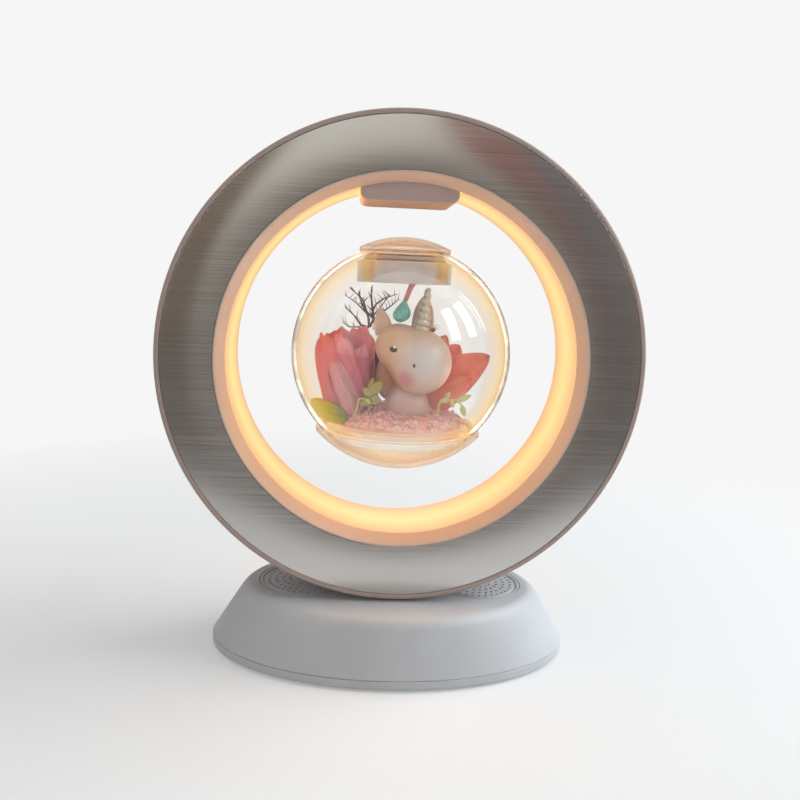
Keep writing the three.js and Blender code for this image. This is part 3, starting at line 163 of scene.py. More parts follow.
class BaseSizes(PropertyGroup):
    """Sizes of the oval base."""

    height: length("Height", "Level of the base's flat top", high("base_shell")[2])
    shell_bottom: length("Shell bottom", "Level of the parting line", low("base_shell")[2])
    bottom_length: length("Bottom half length", "Half length at the parting line", high("base_bottom_cover")[0])
    bottom_width: length("Bottom half width", "Half width at the parting line", high("base_bottom_cover")[1])
    shoulder_length: length("Shoulder half length", "Half length where the side rolls over", 0.0578)
    shoulder_width: length("Shoulder half width", "Half width where the side rolls over", 0.037)
    shoulder_drop: length("Shoulder drop", "How far the shoulder lies under the top", 0.0045)
    top_length: length("Top half length", "Half length of the flat top", 0.052)
    top_width: length("Top half width", "Half width of the flat top", 0.033)
    wall: length("Wall", "Wall of the housing", 0.0022)
    cover_bottom: length("Cover bottom", "Level of the cover's underside", low("base_bottom_cover")[2])
    cover_top: length("Cover top", "Level of the cover's upper edge", 0.00415)
    cover_floor: length("Cover floor", "Level of the cover's inner floor", 0.003)
    cover_edge: length("Cover edge", "Bevel of the cover's lower edge", 0.001)
    cover_lip: length("Cover lip", "Wall of the cover's lip inside the housing", 0.0016)
    screw_hole: length("Screw hole", "Radius of the holes for the cover's screws", 0.0029)
    gap: length("Gap", "Clearance between fitted pieces", 0.0003)
    fine_edge: length("Fine edge", "Rounding at the parting line and of the grilles", 0.0002)
    button_radius: length("Button radius", "Radius of a button's cap", 0.0026)
    socket_radius: length("Socket radius", "Radius of the power socket's barrel", 0.004)
    socket_level: length("Socket level", "Height of the power socket's middle", 0.0125)
    grille_groove: length("Grille groove", "Width of the groove round the dots", 0.0011)
    groove_depth: length("Groove depth", "Depth of that groove", 0.0005)
    dot_radius: length("Dot radius", "Radius of a sound hole", 0.0006)
    dot_pitch: length("Dot pitch", "Spacing of the rings of sound holes", 0.0027)
    dot_rings: IntProperty(name="Dot rings", description="Rings of sound holes", default=5, min=1)
    ledge: length("Grille ledge", "Width of the ledge under a grille", 0.0018)
    steps: IntProperty(name="Steps", description="Grid steps round the base", default=224, min=24)


class BallSizes(PropertyGroup):
    """Sizes of the clear ball and its magnet."""

    radius: length("Radius", "Outer radius of the sphere", 0.04)
    wall: length("Wall", "Wall of the sphere", 0.0016)
    bottom_level: length("Bottom depth", "Depth of the sphere's lower edge", BALL_CENTRE[2] - low("ball_shell")[2])
    top_hole: length("Top hole", "Radius of the sphere's upper opening", 0.0143)
    cap_rim: length("Cap rim", "Radius of the top cap's rim", high("ball_top_cap")[0])
    cap_rim_level: length("Cap rim level", "Height of the top cap's rim", 0.0382)
    cap_top: length("Cap top", "Height of the top cap's crown", 0.0423)
    cap_wall: length("Cap wall", "Wall of the top cap", 0.0014)
    spigot: length("Spigot", "How far the cap's spigot reaches down", 0.0022)
    cup_rim: length("Cup rim", "Radius of the bottom cup's rim", high("ball_bottom_cap")[0])
    cup_bottom: length("Cup bottom", "Depth of the bottom cup's lowest point", 0.0422)
    cup_wall: length("Cup wall", "Wall of the bottom cup", 0.0016)
    cup_rim_height: length("Cup rim height", "Height of the cup's rim", 0.0011)
    cup_rim_width: length("Cup rim width", "Width of the cup's rim", 0.0042)
    floor_thickness: length("Floor thickness", "Thickness of the clear floor", 0.0022)
    gap: length("Gap", "Clearance between fitted pieces", 0.0003)
    magnet_radius: length("Magnet radius", "Radius of the magnet", high("float_magnet")[0])
    magnet_low: length("Magnet underside", "Height of the magnet's underside", low("float_magnet")[2] - BALL_CENTRE[2])
    magnet_high: length("Magnet top", "Height of the magnet's top", high("float_magnet")[2] - BALL_CENTRE[2])
    bed_top: length("Bed depth", "Depth of the gravel's mean surface under the centre", 0.0203)
    bed_bottom: length("Bed bottom", "Depth of the gravel's underside", BALL_CENTRE[2] - low("gravel_bed")[2])
    bed_radius: length("Bed radius", "Radius of the gravel's mound", 0.0246)
    pebbles: IntProperty(name="Pebbles", description="Loose grains on the bed", default=620, min=0)
    steps: IntProperty(name="Steps", description="Grid steps round the ball", default=176, min=24)


class FigureSizes(PropertyGroup):
    """Sizes and places of the figure."""

    muzzle: place("Muzzle", "Centre of the round muzzle", (0.0062, -0.0100, -0.0018))
    muzzle_radius: length("Muzzle radius", "Radius of the muzzle", 0.0116)
    skull: place("Skull", "Centre of the skull", (-0.0014, -0.0050, 0.0031))
    skull_radius: length("Skull radius", "Radius of the skull", 0.0083)
    head_blend: length("Head blend", "How softly muzzle and skull join", 0.0045)
    body: place("Body", "Foot of the body's axis", (0.0026, -0.0062, -0.0247))
    body_radius: length("Body radius", "Widest radius of the body", 0.0083)
    body_height: length("Body height", "Height of the body", 0.0152)
    nape: place("Nape", "Middle of the nape behind the cheek", (-0.0042, -0.0032, -0.0082))
    nape_radii: place("Nape radii", "Half sizes of the nape", (0.0050, 0.0042, 0.0085))
    left_ear: place("Left ear", "Root of the left ear", (-0.0064, -0.0048, 0.0070))
    left_ear_tip: place("Left ear tip", "Tip of the left ear", (-0.0086, -0.0044, 0.0172))
    right_ear: place("Right ear", "Root of the right ear", (0.0070, -0.0046, 0.0062))
    right_ear_tip: place("Right ear tip", "Tip of the right ear", (0.0078, -0.0034, 0.0222))
    ear_width: length("Ear half width", "Half an ear's width", 0.0033)
    horn: place("Horn", "Root of the horn", (0.0062, -0.0084, 0.0068))
    horn_tip: place("Horn tip", "Tip of the horn", (0.0083, -0.0084, 0.0242))
    horn_radius: length("Horn radius", "Radius at the horn's root", 0.0034)
    horn_tip_radius: length("Horn tip radius", "Radius at the horn's tip", 0.0008)
    horn_ridge: length("Horn ridge", "Height of the horn's winding ridge", 0.00035)
    gem: place("Gem", "Middle of the drop on the brow", (-0.0006, -0.0093, 0.0162))
    gem_radius: length("Gem radius", "Widest radius of the drop", 0.0031)
    gem_height: length("Gem height", "Height of the drop", 0.0084)
    gem_lean: FloatProperty(
        name="Gem lean", description="Slant of the drop towards the horn", default=0.16, subtype="FACTOR"
    )
    plume: place("Plume", "Root of the plume", (0.0002, -0.0092, 0.0198))
    plume_tip: place("Plume tip", "Tip of the plume", (0.0029, -0.0090, 0.0252))
    eye: place("Eye", "Place of the eye across and up", (-0.0035, 0.0029))
    nostril: place("Nostril", "Place of the nostril across and up", (0.0035, -0.0019))
    cheek: place("Cheek", "Place of the cheek's blush across and up", (0.0009, -0.0071))


class FlowerSizes(PropertyGroup):
    """Sizes and places of the flowers and greenery."""

    rose: place("Rose", "Root of the rose", (-0.0180, -0.0030, -0.0190))
    petal_wall: length("Petal wall", "Thickness of a petal", 0.00035)
    coral: place("Coral flower", "Root of the coral petals", (0.0100, 0.0020, -0.0170))
    leaf: place("Leaf", "Root of the large leaf", (-0.0182, -0.0140, -0.0240))
    leaf_tip: place("Leaf tip", "Tip of the large leaf", (-0.0318, -0.0096, -0.0166))
    leaf_width: length("Leaf half width", "Half the leaf's width", 0.0036)
    twig_radius: length("Twig radius", "Radius of the twig's stem", 0.0008)


class Finishes(PropertyGroup):
    """Colours of the finishes."""

    # Peach tone: partly the plastic's own colour, partly painted warm light from the light band on the lips.
    shell: colour("Ring plastic", "Moulded shells of the ring", 224, 200, 186)
    # Painted shade: the darker tone of the ring's outer rim.
    rim: colour("Ring rim", "Outer rim of those shells", 184, 163, 154)
    steel: colour("Steel plates", "Brushed face plates", 201, 199, 197)
    glow: colour("Light band", "Middle of the glowing band", 252, 224, 152)
    glow_edge: colour("Light band edge", "Edges of the glowing band", 240, 190, 138)
    pod: colour("Pod", "Plastic of the magnet pod", 208, 185, 180)
    base: colour("Base plastic", "Moulded oval base", 207, 209, 213)
    grille: colour("Grille plastic", "Speaker grilles", 202, 206, 212)
    acrylic: colour("Acrylic", "Clear ball", 250, 249, 246)
    # The two edge colours are painted warm reflections of the light band on acrylic seen edge-on.
    acrylic_edge_reflection: colour("Acrylic edge", "Cap, cup and floor seen edge-on", 246, 226, 206)
    sphere_edge_reflection: colour("Sphere edge", "Clear sphere seen edge-on", 249, 216, 166)
    magnet: colour("Magnet", "Plated magnet in the ball", 190, 180, 174)
    gravel: colour("Gravel", "Fine gravel on the ball's floor", 218, 154, 148)
    cream: colour("Figure", "Painted figure", 200, 164, 138)
    # Pale paint of the muzzle, greyed by a painted reflection.
    muzzle: colour("Muzzle", "Pale paint of the muzzle", 190, 180, 179)
    body: colour("Body", "Paint of the body", 186, 150, 142)
    blush: colour("Blush", "Cheek of the figure", 192, 126, 138)
    horn: colour("Horn", "Silvery horn", 186, 174, 156)
    gem: colour("Gem", "Drop on the brow", 84, 156, 146)
    coral: colour("Coral petals", "Petals at the right", 246, 136, 110)
    rose: colour("Rose petals", "Face of the rose's petals", 232, 132, 144)
    rose_edge: colour("Rose edges", "Edges of the rose's petals", 238, 112, 88)
    leaf: colour("Leaf", "Yellow-green leaf", 204, 190, 26)
    leaf_shade: colour("Leaf shade", "Dark end of the leaf", 92, 116, 48)
    twig: colour("Twig", "Dried dark twig", 84, 14, 28)
    rubber: colour("Rubber", "Feet under the base", 44, 44, 46)


class StudioSettings(PropertyGroup):
    """The camera and the light."""

    camera: FloatVectorProperty(
        name="Camera", description="Place of the camera", default=(-0.0176, -0.2889, 0.1412), size=3, unit="LENGTH"
    )
    focal_pixels: FloatProperty(
        name="Focal length", description="Focal length in picture pixels", default=785.0, subtype="PIXEL"
    )
    picture_width: FloatProperty(
        name="Picture width", description="Width of the picture in pixels", default=800.0, subtype="PIXEL"
    )
    vanishing: FloatVectorProperty(
        name="Vanishing point", description="Pixel at which lines along Y meet", default=(355.8, 273.0), size=2,
        subtype="COORDINATES",
    )
    roll: FloatProperty(
        name="Roll", description="Turn of the camera about its axis", default=math.radians(2.0), subtype="ANGLE"
    )
    floor_size: length("Floor size", "Half width of the floor", 6.0)
    backdrop: colour("Backdrop", "Pale background", 246, 246, 246)


class LampSettings(PropertyGroup):
    """All that a user can change on the lamp."""

    ring: PointerProperty(type=RingSizes)
    base: PointerProperty(type=BaseSizes)
    ball: PointerProperty(type=BallSizes)
    figure: PointerProperty(type=FigureSizes)
    flowers: PointerProperty(type=FlowerSizes)
    finishes: PointerProperty(type=Finishes)
    studio: PointerProperty(type=StudioSettings)


# Surfaces. Each is a triple of points, four-cornered faces and a place on the sheet for each point.


def grid(points, wrap_rows=False, wrap_columns=False):
    """The surface over a rows x columns array of points. A wrap joins the last line to the first."""
    rows, columns = points.shape[:2]
    index = np.arange(rows * columns).reshape(rows, columns)
    if wrap_rows:
        index = np.vstack([index, index[:1]])
    if wrap_columns:
        index = np.hstack([index, index[:, :1]])
    corners = [index[:-1, :-1], index[:-1, 1:], index[1:, 1:], index[1:, :-1]]
    up, across = np.mgrid[0 : 1 : rows * 1j, 0 : 1 : columns * 1j]
    sheet = np.stack([across, up], axis=-1).reshape(-1, 2)
    return points.reshape(-1, 3), np.stack(corners, axis=-1).reshape(-1, 4), sheet


def together(surfaces):
    """Several surfaces as one, with their points numbered on."""
    starts = np.cumsum([0] + [len(points) for points, _, _ in surfaces[:-1]])
    return (
        np.concatenate([points for points, _, _ in surfaces]),
        np.concatenate([faces + start for (_, faces, _), start in zip(surfaces, starts)]),
        np.concatenate([sheet for _, _, sheet in surfaces]),
    )


def moved(surface, offset):
    """A surface shifted as a whole."""
    return surface[0] + np.asarray(offset), surface[1], surface[2]


def rounded(corners, steps=5):
    """A closed outline from corners (across, up, fillet).

    Each corner P is a curve (1-s)^2 A + 2s(1-s) P + s^2 B, where A and B lie a fillet away
    from it towards its neighbours, and never past the middle of an edge.
    """
    corners = np.asarray(corners, dtype=float)
    here = corners[:, :2]
    before = np.roll(here, 1, axis=0) - here
    after = np.roll(here, -1, axis=0) - here
    reach_before = np.linalg.norm(before, axis=1, keepdims=True)
    reach_after = np.linalg.norm(after, axis=1, keepdims=True)
    cut = np.minimum(corners[:, 2:], np.minimum(reach_before, reach_after) / 2)
    start = (here + before / reach_before * cut)[:, None]
    finish = (here + after / reach_after * cut)[:, None]
    s = np.linspace(0, 1, steps)[None, :, None]
    curve = (1 - s) ** 2 * start + 2 * s * (1 - s) * here[:, None] + s**2 * finish
    return curve.reshape(-1, 2)


def arc(radius, centre, start, finish, steps):
    """Points (across, up) on a circle about (0, centre), by the angle from the upward axis."""
    angle = np.linspace(start, finish, steps)
    return np.stack([radius * np.sin(angle), centre + radius * np.cos(angle)], axis=-1)


def angles_round(steps):
    """Evenly spaced angles round a full turn."""
    return np.linspace(0, TURN, steps, endpoint=False)


def turned(outline, steps, axis="Z", centre=(0, 0, 0), is_open=False):
    """An outline (radius, height) turned about an axis: P = centre + r (cos a, sin a) + h axis."""
    angle = angles_round(steps)
    radius = outline[:, :1]
    height = np.broadcast_to(outline[:, 1:], (len(outline), steps))
    first = radius * np.cos(angle)
    second = radius * np.sin(angle)
    order = (first, second, height) if axis == "Z" else (first, height, second)
    return grid(np.stack(order, axis=-1) + np.asarray(centre), wrap_rows=not is_open, wrap_columns=True)


def lathed(corners, steps, centre, axis="Z", fillet_steps=5):
    """A solid turned from corners (radius, height, fillet) of a section that runs along its axis."""
    section = rounded(corners, fillet_steps)
    return turned(np.vstack([section, section[:1]]), steps, axis, centre, is_open=True)


def cylinder(radius, start, finish, centre, axis="Z", steps=64):
    """A plain cylinder that cuts an opening."""
    outline = np.array([[0, start], [radius, start], [radius, finish], [0, finish]])
    return turned(outline, steps, axis, centre, is_open=True)


def thick_sheet(points, wall):
    """A sheet with a wall: P +- n w/2, n its normal, w thinning at the edges, closed all round."""
    rows, columns = points.shape[:2]
    normal = np.cross(np.gradient(points, axis=1), np.gradient(points, axis=0))
    normal /= np.maximum(np.linalg.norm(normal, axis=-1, keepdims=True), 1e-12)
    across = np.sin(math.pi * np.linspace(0.04, 0.96, columns)) ** 0.5
    up = np.sin(math.pi * np.linspace(0.04, 0.96, rows)) ** 0.5
    half = wall / 2 * (across[None, :] * up[:, None])[..., None]
    both = np.concatenate([points + normal * half, (points - normal * half)[:, ::-1]], axis=1)
    loop, faces, _ = grid(both, wrap_columns=True)
    near = np.arange(columns - 1)
    far = 2 * columns - 1 - near
    end = np.stack([near, near + 1, far - 1, far], axis=-1)
    half_sheet = grid(points)[2].reshape(rows, columns, 2)
    sheet = np.concatenate([half_sheet, half_sheet[:, ::-1]], axis=1).reshape(-1, 2)
    return loop, np.concatenate([faces, end, end + (rows - 1) * 2 * columns]), sheet


def unit(vectors):
    """Vectors brought to length one."""
    return vectors / np.maximum(np.linalg.norm(vectors, axis=-1, keepdims=True), 1e-12)


def tube(path, radii, sides=8, flat=1.0):
    """A tube along a path: P = path + r (cos a side + flat sin a up), closed at its ends."""
    tangent = unit(np.gradient(path, axis=0))
    reference = np.array([0.0, 1.0, 0.0]) if abs(tangent[0, 1]) < 0.8 else np.array([1.0, 0.0, 0.0])
    side = unit(np.cross(tangent, reference))
    up = np.cross(side, tangent)
    angle = angles_round(sides)[None, :, None]
    spokes = np.cos(angle) * side[:, None] + flat * np.sin(angle) * up[:, None]
    rings = path[:, None] + np.asarray(radii)[:, None, None] * spokes
    first = np.repeat(path[:1, None], sides, axis=1)
    last = np.repeat(path[-1:, None], sides, axis=1)
    return grid(np.concatenate([first, rings, last]), wrap_columns=True)


def bend(start, middle, finish, steps):
    """A curve (1-s)^2 A + 2s(1-s) M + s^2 B through three places."""
    s = np.linspace(0, 1, steps)[:, None]
    start, middle, finish = (np.asarray(p, dtype=float) for p in (start, middle, finish))
    return (1 - s) ** 2 * start + 2 * s * (1 - s) * middle + s**2 * finish


def directions(rows, columns):
    """Unit vectors all round: (sin t cos f, sin t sin f, cos t)."""
    tilt = np.linspace(0, math.pi, rows)[:, None]
    spin = angles_round(columns)[None]
    return np.stack([np.sin(tilt) * np.cos(spin), np.sin(tilt) * np.sin(spin), np.cos(tilt) + 0 * spin], axis=-1)


def ellipsoid(centre, radii, rows=24, columns=32):
    """P = centre + (a sin t cos f, b sin t sin f, c cos t)."""
    return grid(np.asarray(centre) + directions(rows, columns) * np.asarray(radii), wrap_columns=True)


def rounded_block(low_corner, high_corner, side_fillet, edge_fillet, around=12, up=6):
    """A block with round upright corners and round upper and lower edges.

    Its plan is a rounded rectangle. Each level draws the plan in by f (1 - cos t) and lies
    f (1 - sin t) from the top or bottom, with t from 0 to a quarter turn.
    """
    low_corner, high_corner = np.asarray(low_corner), np.asarray(high_corner)
    middle = (low_corner + high_corner) / 2
    half = (high_corner - low_corner) / 2
    quarters = np.arange(4)[:, None] * math.pi / 2
    turn = (quarters + np.linspace(0, math.pi / 2, around)).ravel()
    normal = np.stack([np.cos(turn), np.sin(turn)], axis=-1)
    sign = np.repeat(np.array([[1, 1], [-1, 1], [-1, -1], [1, -1]]), around, axis=0)
    plan = sign * (half[:2] - side_fillet) + side_fillet * normal
    t = np.linspace(0, math.pi / 2, up)
    inset = edge_fillet * (1 - np.sin(t))
    rise = edge_fillet * (1 - np.cos(t))
    insets = np.concatenate([inset, inset[::-1]])
    levels = np.concatenate([low_corner[2] + rise, high_corner[2] - rise[::-1]])
    level_plan = plan[None] - insets[:, None, None] * normal[None]
    level = np.broadcast_to(levels[:, None, None], level_plan.shape[:2] + (1,))
    sides = np.concatenate([level_plan, level], axis=-1)
    ends = [np.zeros((1, len(plan), 3)) + [0, 0, level] for level in (low_corner[2], high_corner[2])]
    rows = np.concatenate([ends[0], sides, ends[1]])
    rows[..., :2] += middle[:2]
    return grid(rows, wrap_columns=True)


# Meshes and pieces.


def build_mesh(name, surface, finish):
    """A mesh from a surface, with doubled points merged and faces turned outwards."""
    points, faces, sheet = surface
    mesh = bpy.data.meshes.new(name)
    mesh.vertices.add(len(points))
    mesh.vertices.foreach_set("co", np.ascontiguousarray(points, dtype=np.float32).ravel())
    mesh.loops.add(faces.size)
    mesh.loops.foreach_set("vertex_index", faces.astype(np.int32).ravel())
    mesh.polygons.add(len(faces))
    mesh.polygons.foreach_set("loop_start", np.arange(0, faces.size, 4, dtype=np.int32))
    mesh.uv_layers.new(name="Sheet").data.foreach_set("uv", sheet[faces.ravel()].astype(np.float32).ravel())
    mesh.update(calc_edges=True)
    mesh.materials.append(finish)
    solid = bmesh.new()
    solid.from_mesh(mesh)
    bmesh.ops.remove_doubles(solid, verts=solid.verts, dist=1e-7)
    bmesh.ops.recalc_face_normals(solid, faces=solid.faces)
    solid.to_mesh(mesh)
    solid.free()
    return mesh


def add_object(name, data):
    """An object in the scene with its mesh, camera or lamp."""
    item = bpy.data.objects.new(name, data)
    bpy.context.scene.collection.objects.link(item)
    return item


def matrix_of(right, up, back, at):
    """The matrix of an object from its axes and its place."""
    matrix = np.eye(4)
    matrix[:3] = np.stack([right, up, back, at], axis=1)
    return Matrix(matrix.tolist())


def add_piece(name, surface, finish, body, nodes=(), cutters=(), sharp=38):
    """One finished piece: its mesh in place, its body and the nodes it stands for."""
    piece = add_object(name, build_mesh(name, surface, finish))
    if cutters:
        cut_away(piece, cutters)
    piece.data.shade_smooth()
    piece.data.set_sharp_from_angle(angle=math.radians(sharp))
    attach(piece, body)
    if nodes:
        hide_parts(*nodes)
    return piece


def add_in_ball(name, surfaces, finish, nodes=(), sharp=38):
    """One finished piece that goes with the ball, from surfaces placed about the ball's centre."""
    return add_piece(name, moved(together(surfaces), BALL_CENTRE), finish, "ball", nodes, sharp=sharp)


def cut_away(piece, cutters):
    """Takes closed surfaces away from a piece."""
    tool = add_object("cutter", build_mesh("cutter", together(cutters), piece.data.materials[0]))
    cut = piece.modifiers.new("openings", "BOOLEAN")
    cut.operation = "DIFFERENCE"
    cut.solver = "EXACT"
    cut.use_self = True
    cut.object = tool
    bpy.context.view_layer.update()
    ready = piece.evaluated_get(bpy.context.evaluated_depsgraph_get())
    cut_mesh = bpy.data.meshes.new_from_object(ready)
    piece.modifiers.clear()
    piece.data = cut_mesh
    bpy.data.objects.remove(tool)


def finish_nodes(names, finish):
    """Gives frame nodes that keep their shape a detailed finish."""
    for name in names:
        node = frame["nodes"][name]
        node.data.materials.clear()
        node.data.materials.append(finish)


# Finishes.


class NodePlan:
    """Short calls that add nodes to the shader tree of a material or of the world."""

    def __init__(self, tree):
        self.nodes, self.links = tree.nodes, tree.links

    def add(self, kind, inputs=None, **settings):
        """A node with its settings, its inputs set or linked."""
        node = self.nodes.new(kind)
        for name, value in settings.items():
            setattr(node, name, value)
        for name, value in (inputs or {}).items():
            if isinstance(value, bpy.types.NodeSocket):
                self.links.new(value, node.inputs[name])
            elif node.inputs[name].type == "RGBA" and len(value) == 3:
                node.inputs[name].default_value = (*value, 1)
            else:
                node.inputs[name].default_value = value
        return node

    def coordinates(self, scale=(1, 1, 1), sheet=False):
        """Object coordinates, or the piece's own sheet, stretched."""
        source = self.add("ShaderNodeTexCoord").outputs["UV" if sheet else "Object"]
        return self.add("ShaderNodeMapping", {"Vector": source, "Scale": scale}).outputs["Vector"]

    def noise(self, scale, detail=3.0, roughness=0.5, distortion=0.0, stretch=(1, 1, 1), sheet=False):
        """Soft noise from 0 to 1 over the object's space or the piece's own sheet."""
        inputs = {"Vector": self.coordinates(stretch, sheet), "Scale": scale, "Detail": detail,
                  "Roughness": roughness, "Distortion": distortion}
        return self.add("ShaderNodeTexNoise", inputs).outputs["Fac"]

    def cells(self, scale, output="Distance", stretch=(1, 1, 1)):
        """Cells about scattered points."""
        inputs = {"Vector": self.coordinates(stretch), "Scale": scale}
        return self.add("ShaderNodeTexVoronoi", inputs).outputs[output]

    def spread(self, value, low_in, high_in, low_out=0.0, high_out=1.0):
        """A value mapped from one range to another."""
        inputs = {"Value": value, "From Min": low_in, "From Max": high_in, "To Min": low_out, "To Max": high_out}
        return self.add("ShaderNodeMapRange", inputs).outputs["Result"]

    def ramp(self, factor, stops):
        """Colours at places from 0 to 1."""
        node = self.add("ShaderNodeValToRGB", {"Fac": factor})
        elements = node.color_ramp.elements
        while len(elements) < len(stops):
            elements.new(0.5)
        for element, (at, shade) in zip(elements, stops):
            element.position = at
            element.color = (*shade, 1)
        return node.outputs["Color"]

    def math(self, operation, first, second):
        """Arithmetic of two values."""
        return self.add("ShaderNodeMath", {0: first, 1: second}, operation=operation).outputs["Value"]

    def axis(self, name, sheet=False):
        """One coordinate, X, Y or Z."""
        source = self.coordinates(sheet=sheet)
        return self.add("ShaderNodeSeparateXYZ", {"Vector": source}).outputs[name]

    def mix(self, factor, first, second):
        """A colour between two, each a socket or a plain colour."""
        inputs = {"Factor": factor, "A": first, "B": second}
        return self.add("ShaderNodeMix", inputs, data_type="RGBA").outputs["Result"]

    def mix_shaders(self, factor, first, second):
        """A shader between two others."""
        return self.add("ShaderNodeMixShader", {0: factor, 1: first, 2: second}).outputs["Shader"]

    def seen_plainly(self):
        """One for what the camera sees, straight or through clear plastic, mirrorings within it too."""
        path = self.add("ShaderNodeLightPath").outputs
        return self.math("MAXIMUM", path["Is Camera Ray"], self.math("MINIMUM", path["Transmission Depth"], 1.0))

    def near(self, centre, inner, outer):
        """One close to a place, falling to nought at the outer distance."""
        inputs = {0: self.coordinates(), 1: tuple(centre)}
        away = self.add("ShaderNodeVectorMath", inputs, operation="DISTANCE").outputs["Value"]
        return self.spread(away, inner, outer, 1.0, 0.0)


class Finish(NodePlan):
    """A material in the making: its Principled shader and short calls that feed it patterns."""

    def __init__(self, name, base_colour, roughness, **sockets):
        self.material = bpy.data.materials.new(name)
        self.material.use_nodes = True
        super().__init__(self.material.node_tree)
        self.shader = self.nodes["Principled BSDF"]
        self.shader.inputs["Base Color"].default_value = (*base_colour, 1)
        self.shader.inputs["Roughness"].default_value = roughness
        for socket, value in sockets.items():
            self.shader.inputs[socket.replace("_", " ")].default_value = value

    def paint(self, socket, value):
        """Feeds one socket of the shader."""
        self.links.new(value, self.shader.inputs[socket])

    def paint_tones(self, pattern, base_colour, darker, lighter):
        """Base colour that goes with a pattern from a darker to a lighter tone."""
        stops = [(0.3, shaded(base_colour, darker)), (0.7, shaded(base_colour, lighter))]
        self.paint("Base Color", self.ramp(pattern, stops))

    def show(self, shader):
        """Makes a shader the material's surface."""
        self.links.new(shader, self.nodes["Material Output"].inputs["Surface"])

    def bump(self, height, strength, distance):
        """Relief from a height, over a distance in metres."""
        inputs = {"Height": height, "Strength": strength, "Distance": distance}
        self.paint("Normal", self.add("ShaderNodeBump", inputs).outputs["Normal"])


def shaded(base_colour, factor):
    """A colour made lighter or darker."""
    return tuple(min(1.0, c * factor) for c in base_colour)


def mixed(first, second, share):
    """A colour between two others."""
    return tuple(a + (b - a) * share for a, b in zip(first, second))


def moulded_plastic(name, base_colour, roughness=0.42, relief=0.00004, mottle=0.06, rim=None):
    """Injection-moulded plastic: faint cloudy shade, fine spark-eroded grain, uneven sheen.

    A rim is the painted shade that the plastic takes towards the ring's outer edge: its tone, and the distances
    from the ring's centre at which it sets in and is full.
    """
    finish = Finish(name, base_colour, roughness, Specular_IOR_Level=0.45)
    clouds = finish.noise(28.0, 4.0, 0.6)
    tone = finish.ramp(clouds, [(0.3, shaded(base_colour, 1 - mottle)), (0.7, shaded(base_colour, 1 + mottle / 2))])
    # Painted shade: the plastic darkens towards the ring's outer edge.
    if rim:
        rim_shade_tone, start, full = rim
        tone = finish.mix(finish.near(RING_CENTRE, start, full), rim_shade_tone, tone)
    finish.paint("Base Color", tone)
    sheen = finish.noise(90.0)
    finish.paint("Roughness", finish.spread(sheen, 0.3, 0.7, roughness - 0.06, roughness + 0.08))
    finish.bump(finish.noise(2600.0, 2.0, 0.6), 0.25, relief)
    return finish.material


def brushed_steel(name, base_colour):
    """Steel brushed along X: hair-fine lines, and a mirror image that they smear upright."""
    finish = Finish(name, base_colour, 0.2, Metallic=1.0, Anisotropic=0.88)
    lines = finish.noise(1.0, 3.0, 0.6, stretch=(14.0, 300.0, 3200.0))
    drift = finish.noise(1.0, 2.0, stretch=(7.0, 7.0, 60.0))
    tone = finish.math("ADD", finish.math("MULTIPLY", lines, 0.7), finish.math("MULTIPLY", drift, 0.3))
    finish.paint_tones(tone, base_colour, 0.9, 1.08)
    finish.paint("Roughness", finish.spread(lines, 0.3, 0.7, 0.17, 0.24))
    finish.bump(lines, 0.1, 0.00001)
    upright = finish.add("ShaderNodeCombineXYZ", {"X": 0.0, "Y": 0.0, "Z": 1.0})
    finish.paint("Tangent", upright.outputs["Vector"])
    return finish.material


def plain_metal(name, base_colour, roughness, stretch=(1, 1, 1), metallic=1.0):
    """Plated or turned metal: fine tooling marks, stretched as asked, and patchy sheen."""
    finish = Finish(name, base_colour, roughness, Metallic=metallic)
    marks = finish.noise(500.0, 4.0, 0.6, stretch=stretch)
    patches = finish.noise(120.0)
    finish.paint_tones(patches, base_colour, 0.88, 1.06)
    finish.paint("Roughness", finish.spread(marks, 0.3, 0.7, roughness * 0.7, roughness * 1.4))
    finish.bump(marks, 0.12, 0.00002)
    return finish.material


def light_band(name, middle, edge, half_width):
    """A lit diffuser: brightest at mid depth, warmer and dimmer towards its edges, most so at the back.

    What it shines on gets the strip's full warm light, which is too bright to be seen as a colour.
    """
    finish = Finish(name, shaded(middle, 0.1), 0.35, Specular_IOR_Level=0.3, Emission_Strength=1.0)
    across = finish.spread(finish.axis("Y"), -half_width, half_width)
    cloud = finish.noise(60.0, 2.0)
    uneven = finish.math("ADD", across, finish.spread(cloud, 0.3, 0.7, -0.03, 0.03))
    between = mixed(edge, middle, 0.55)
    stops = [(0.0, edge), (0.22, between), (0.45, middle), (0.72, between), (1.0, shaded(edge, 0.9))]
    shines = finish.add("ShaderNodeLightPath").outputs["Is Diffuse Ray"]
    full_light = (6.7, 3.4, 0.85)
    finish.paint("Emission Color", finish.mix(shines, finish.ramp(uneven, stops), full_light))
    finish.bump(finish.noise(1800.0, 2.0), 0.1, 0.00003)
    return finish.material


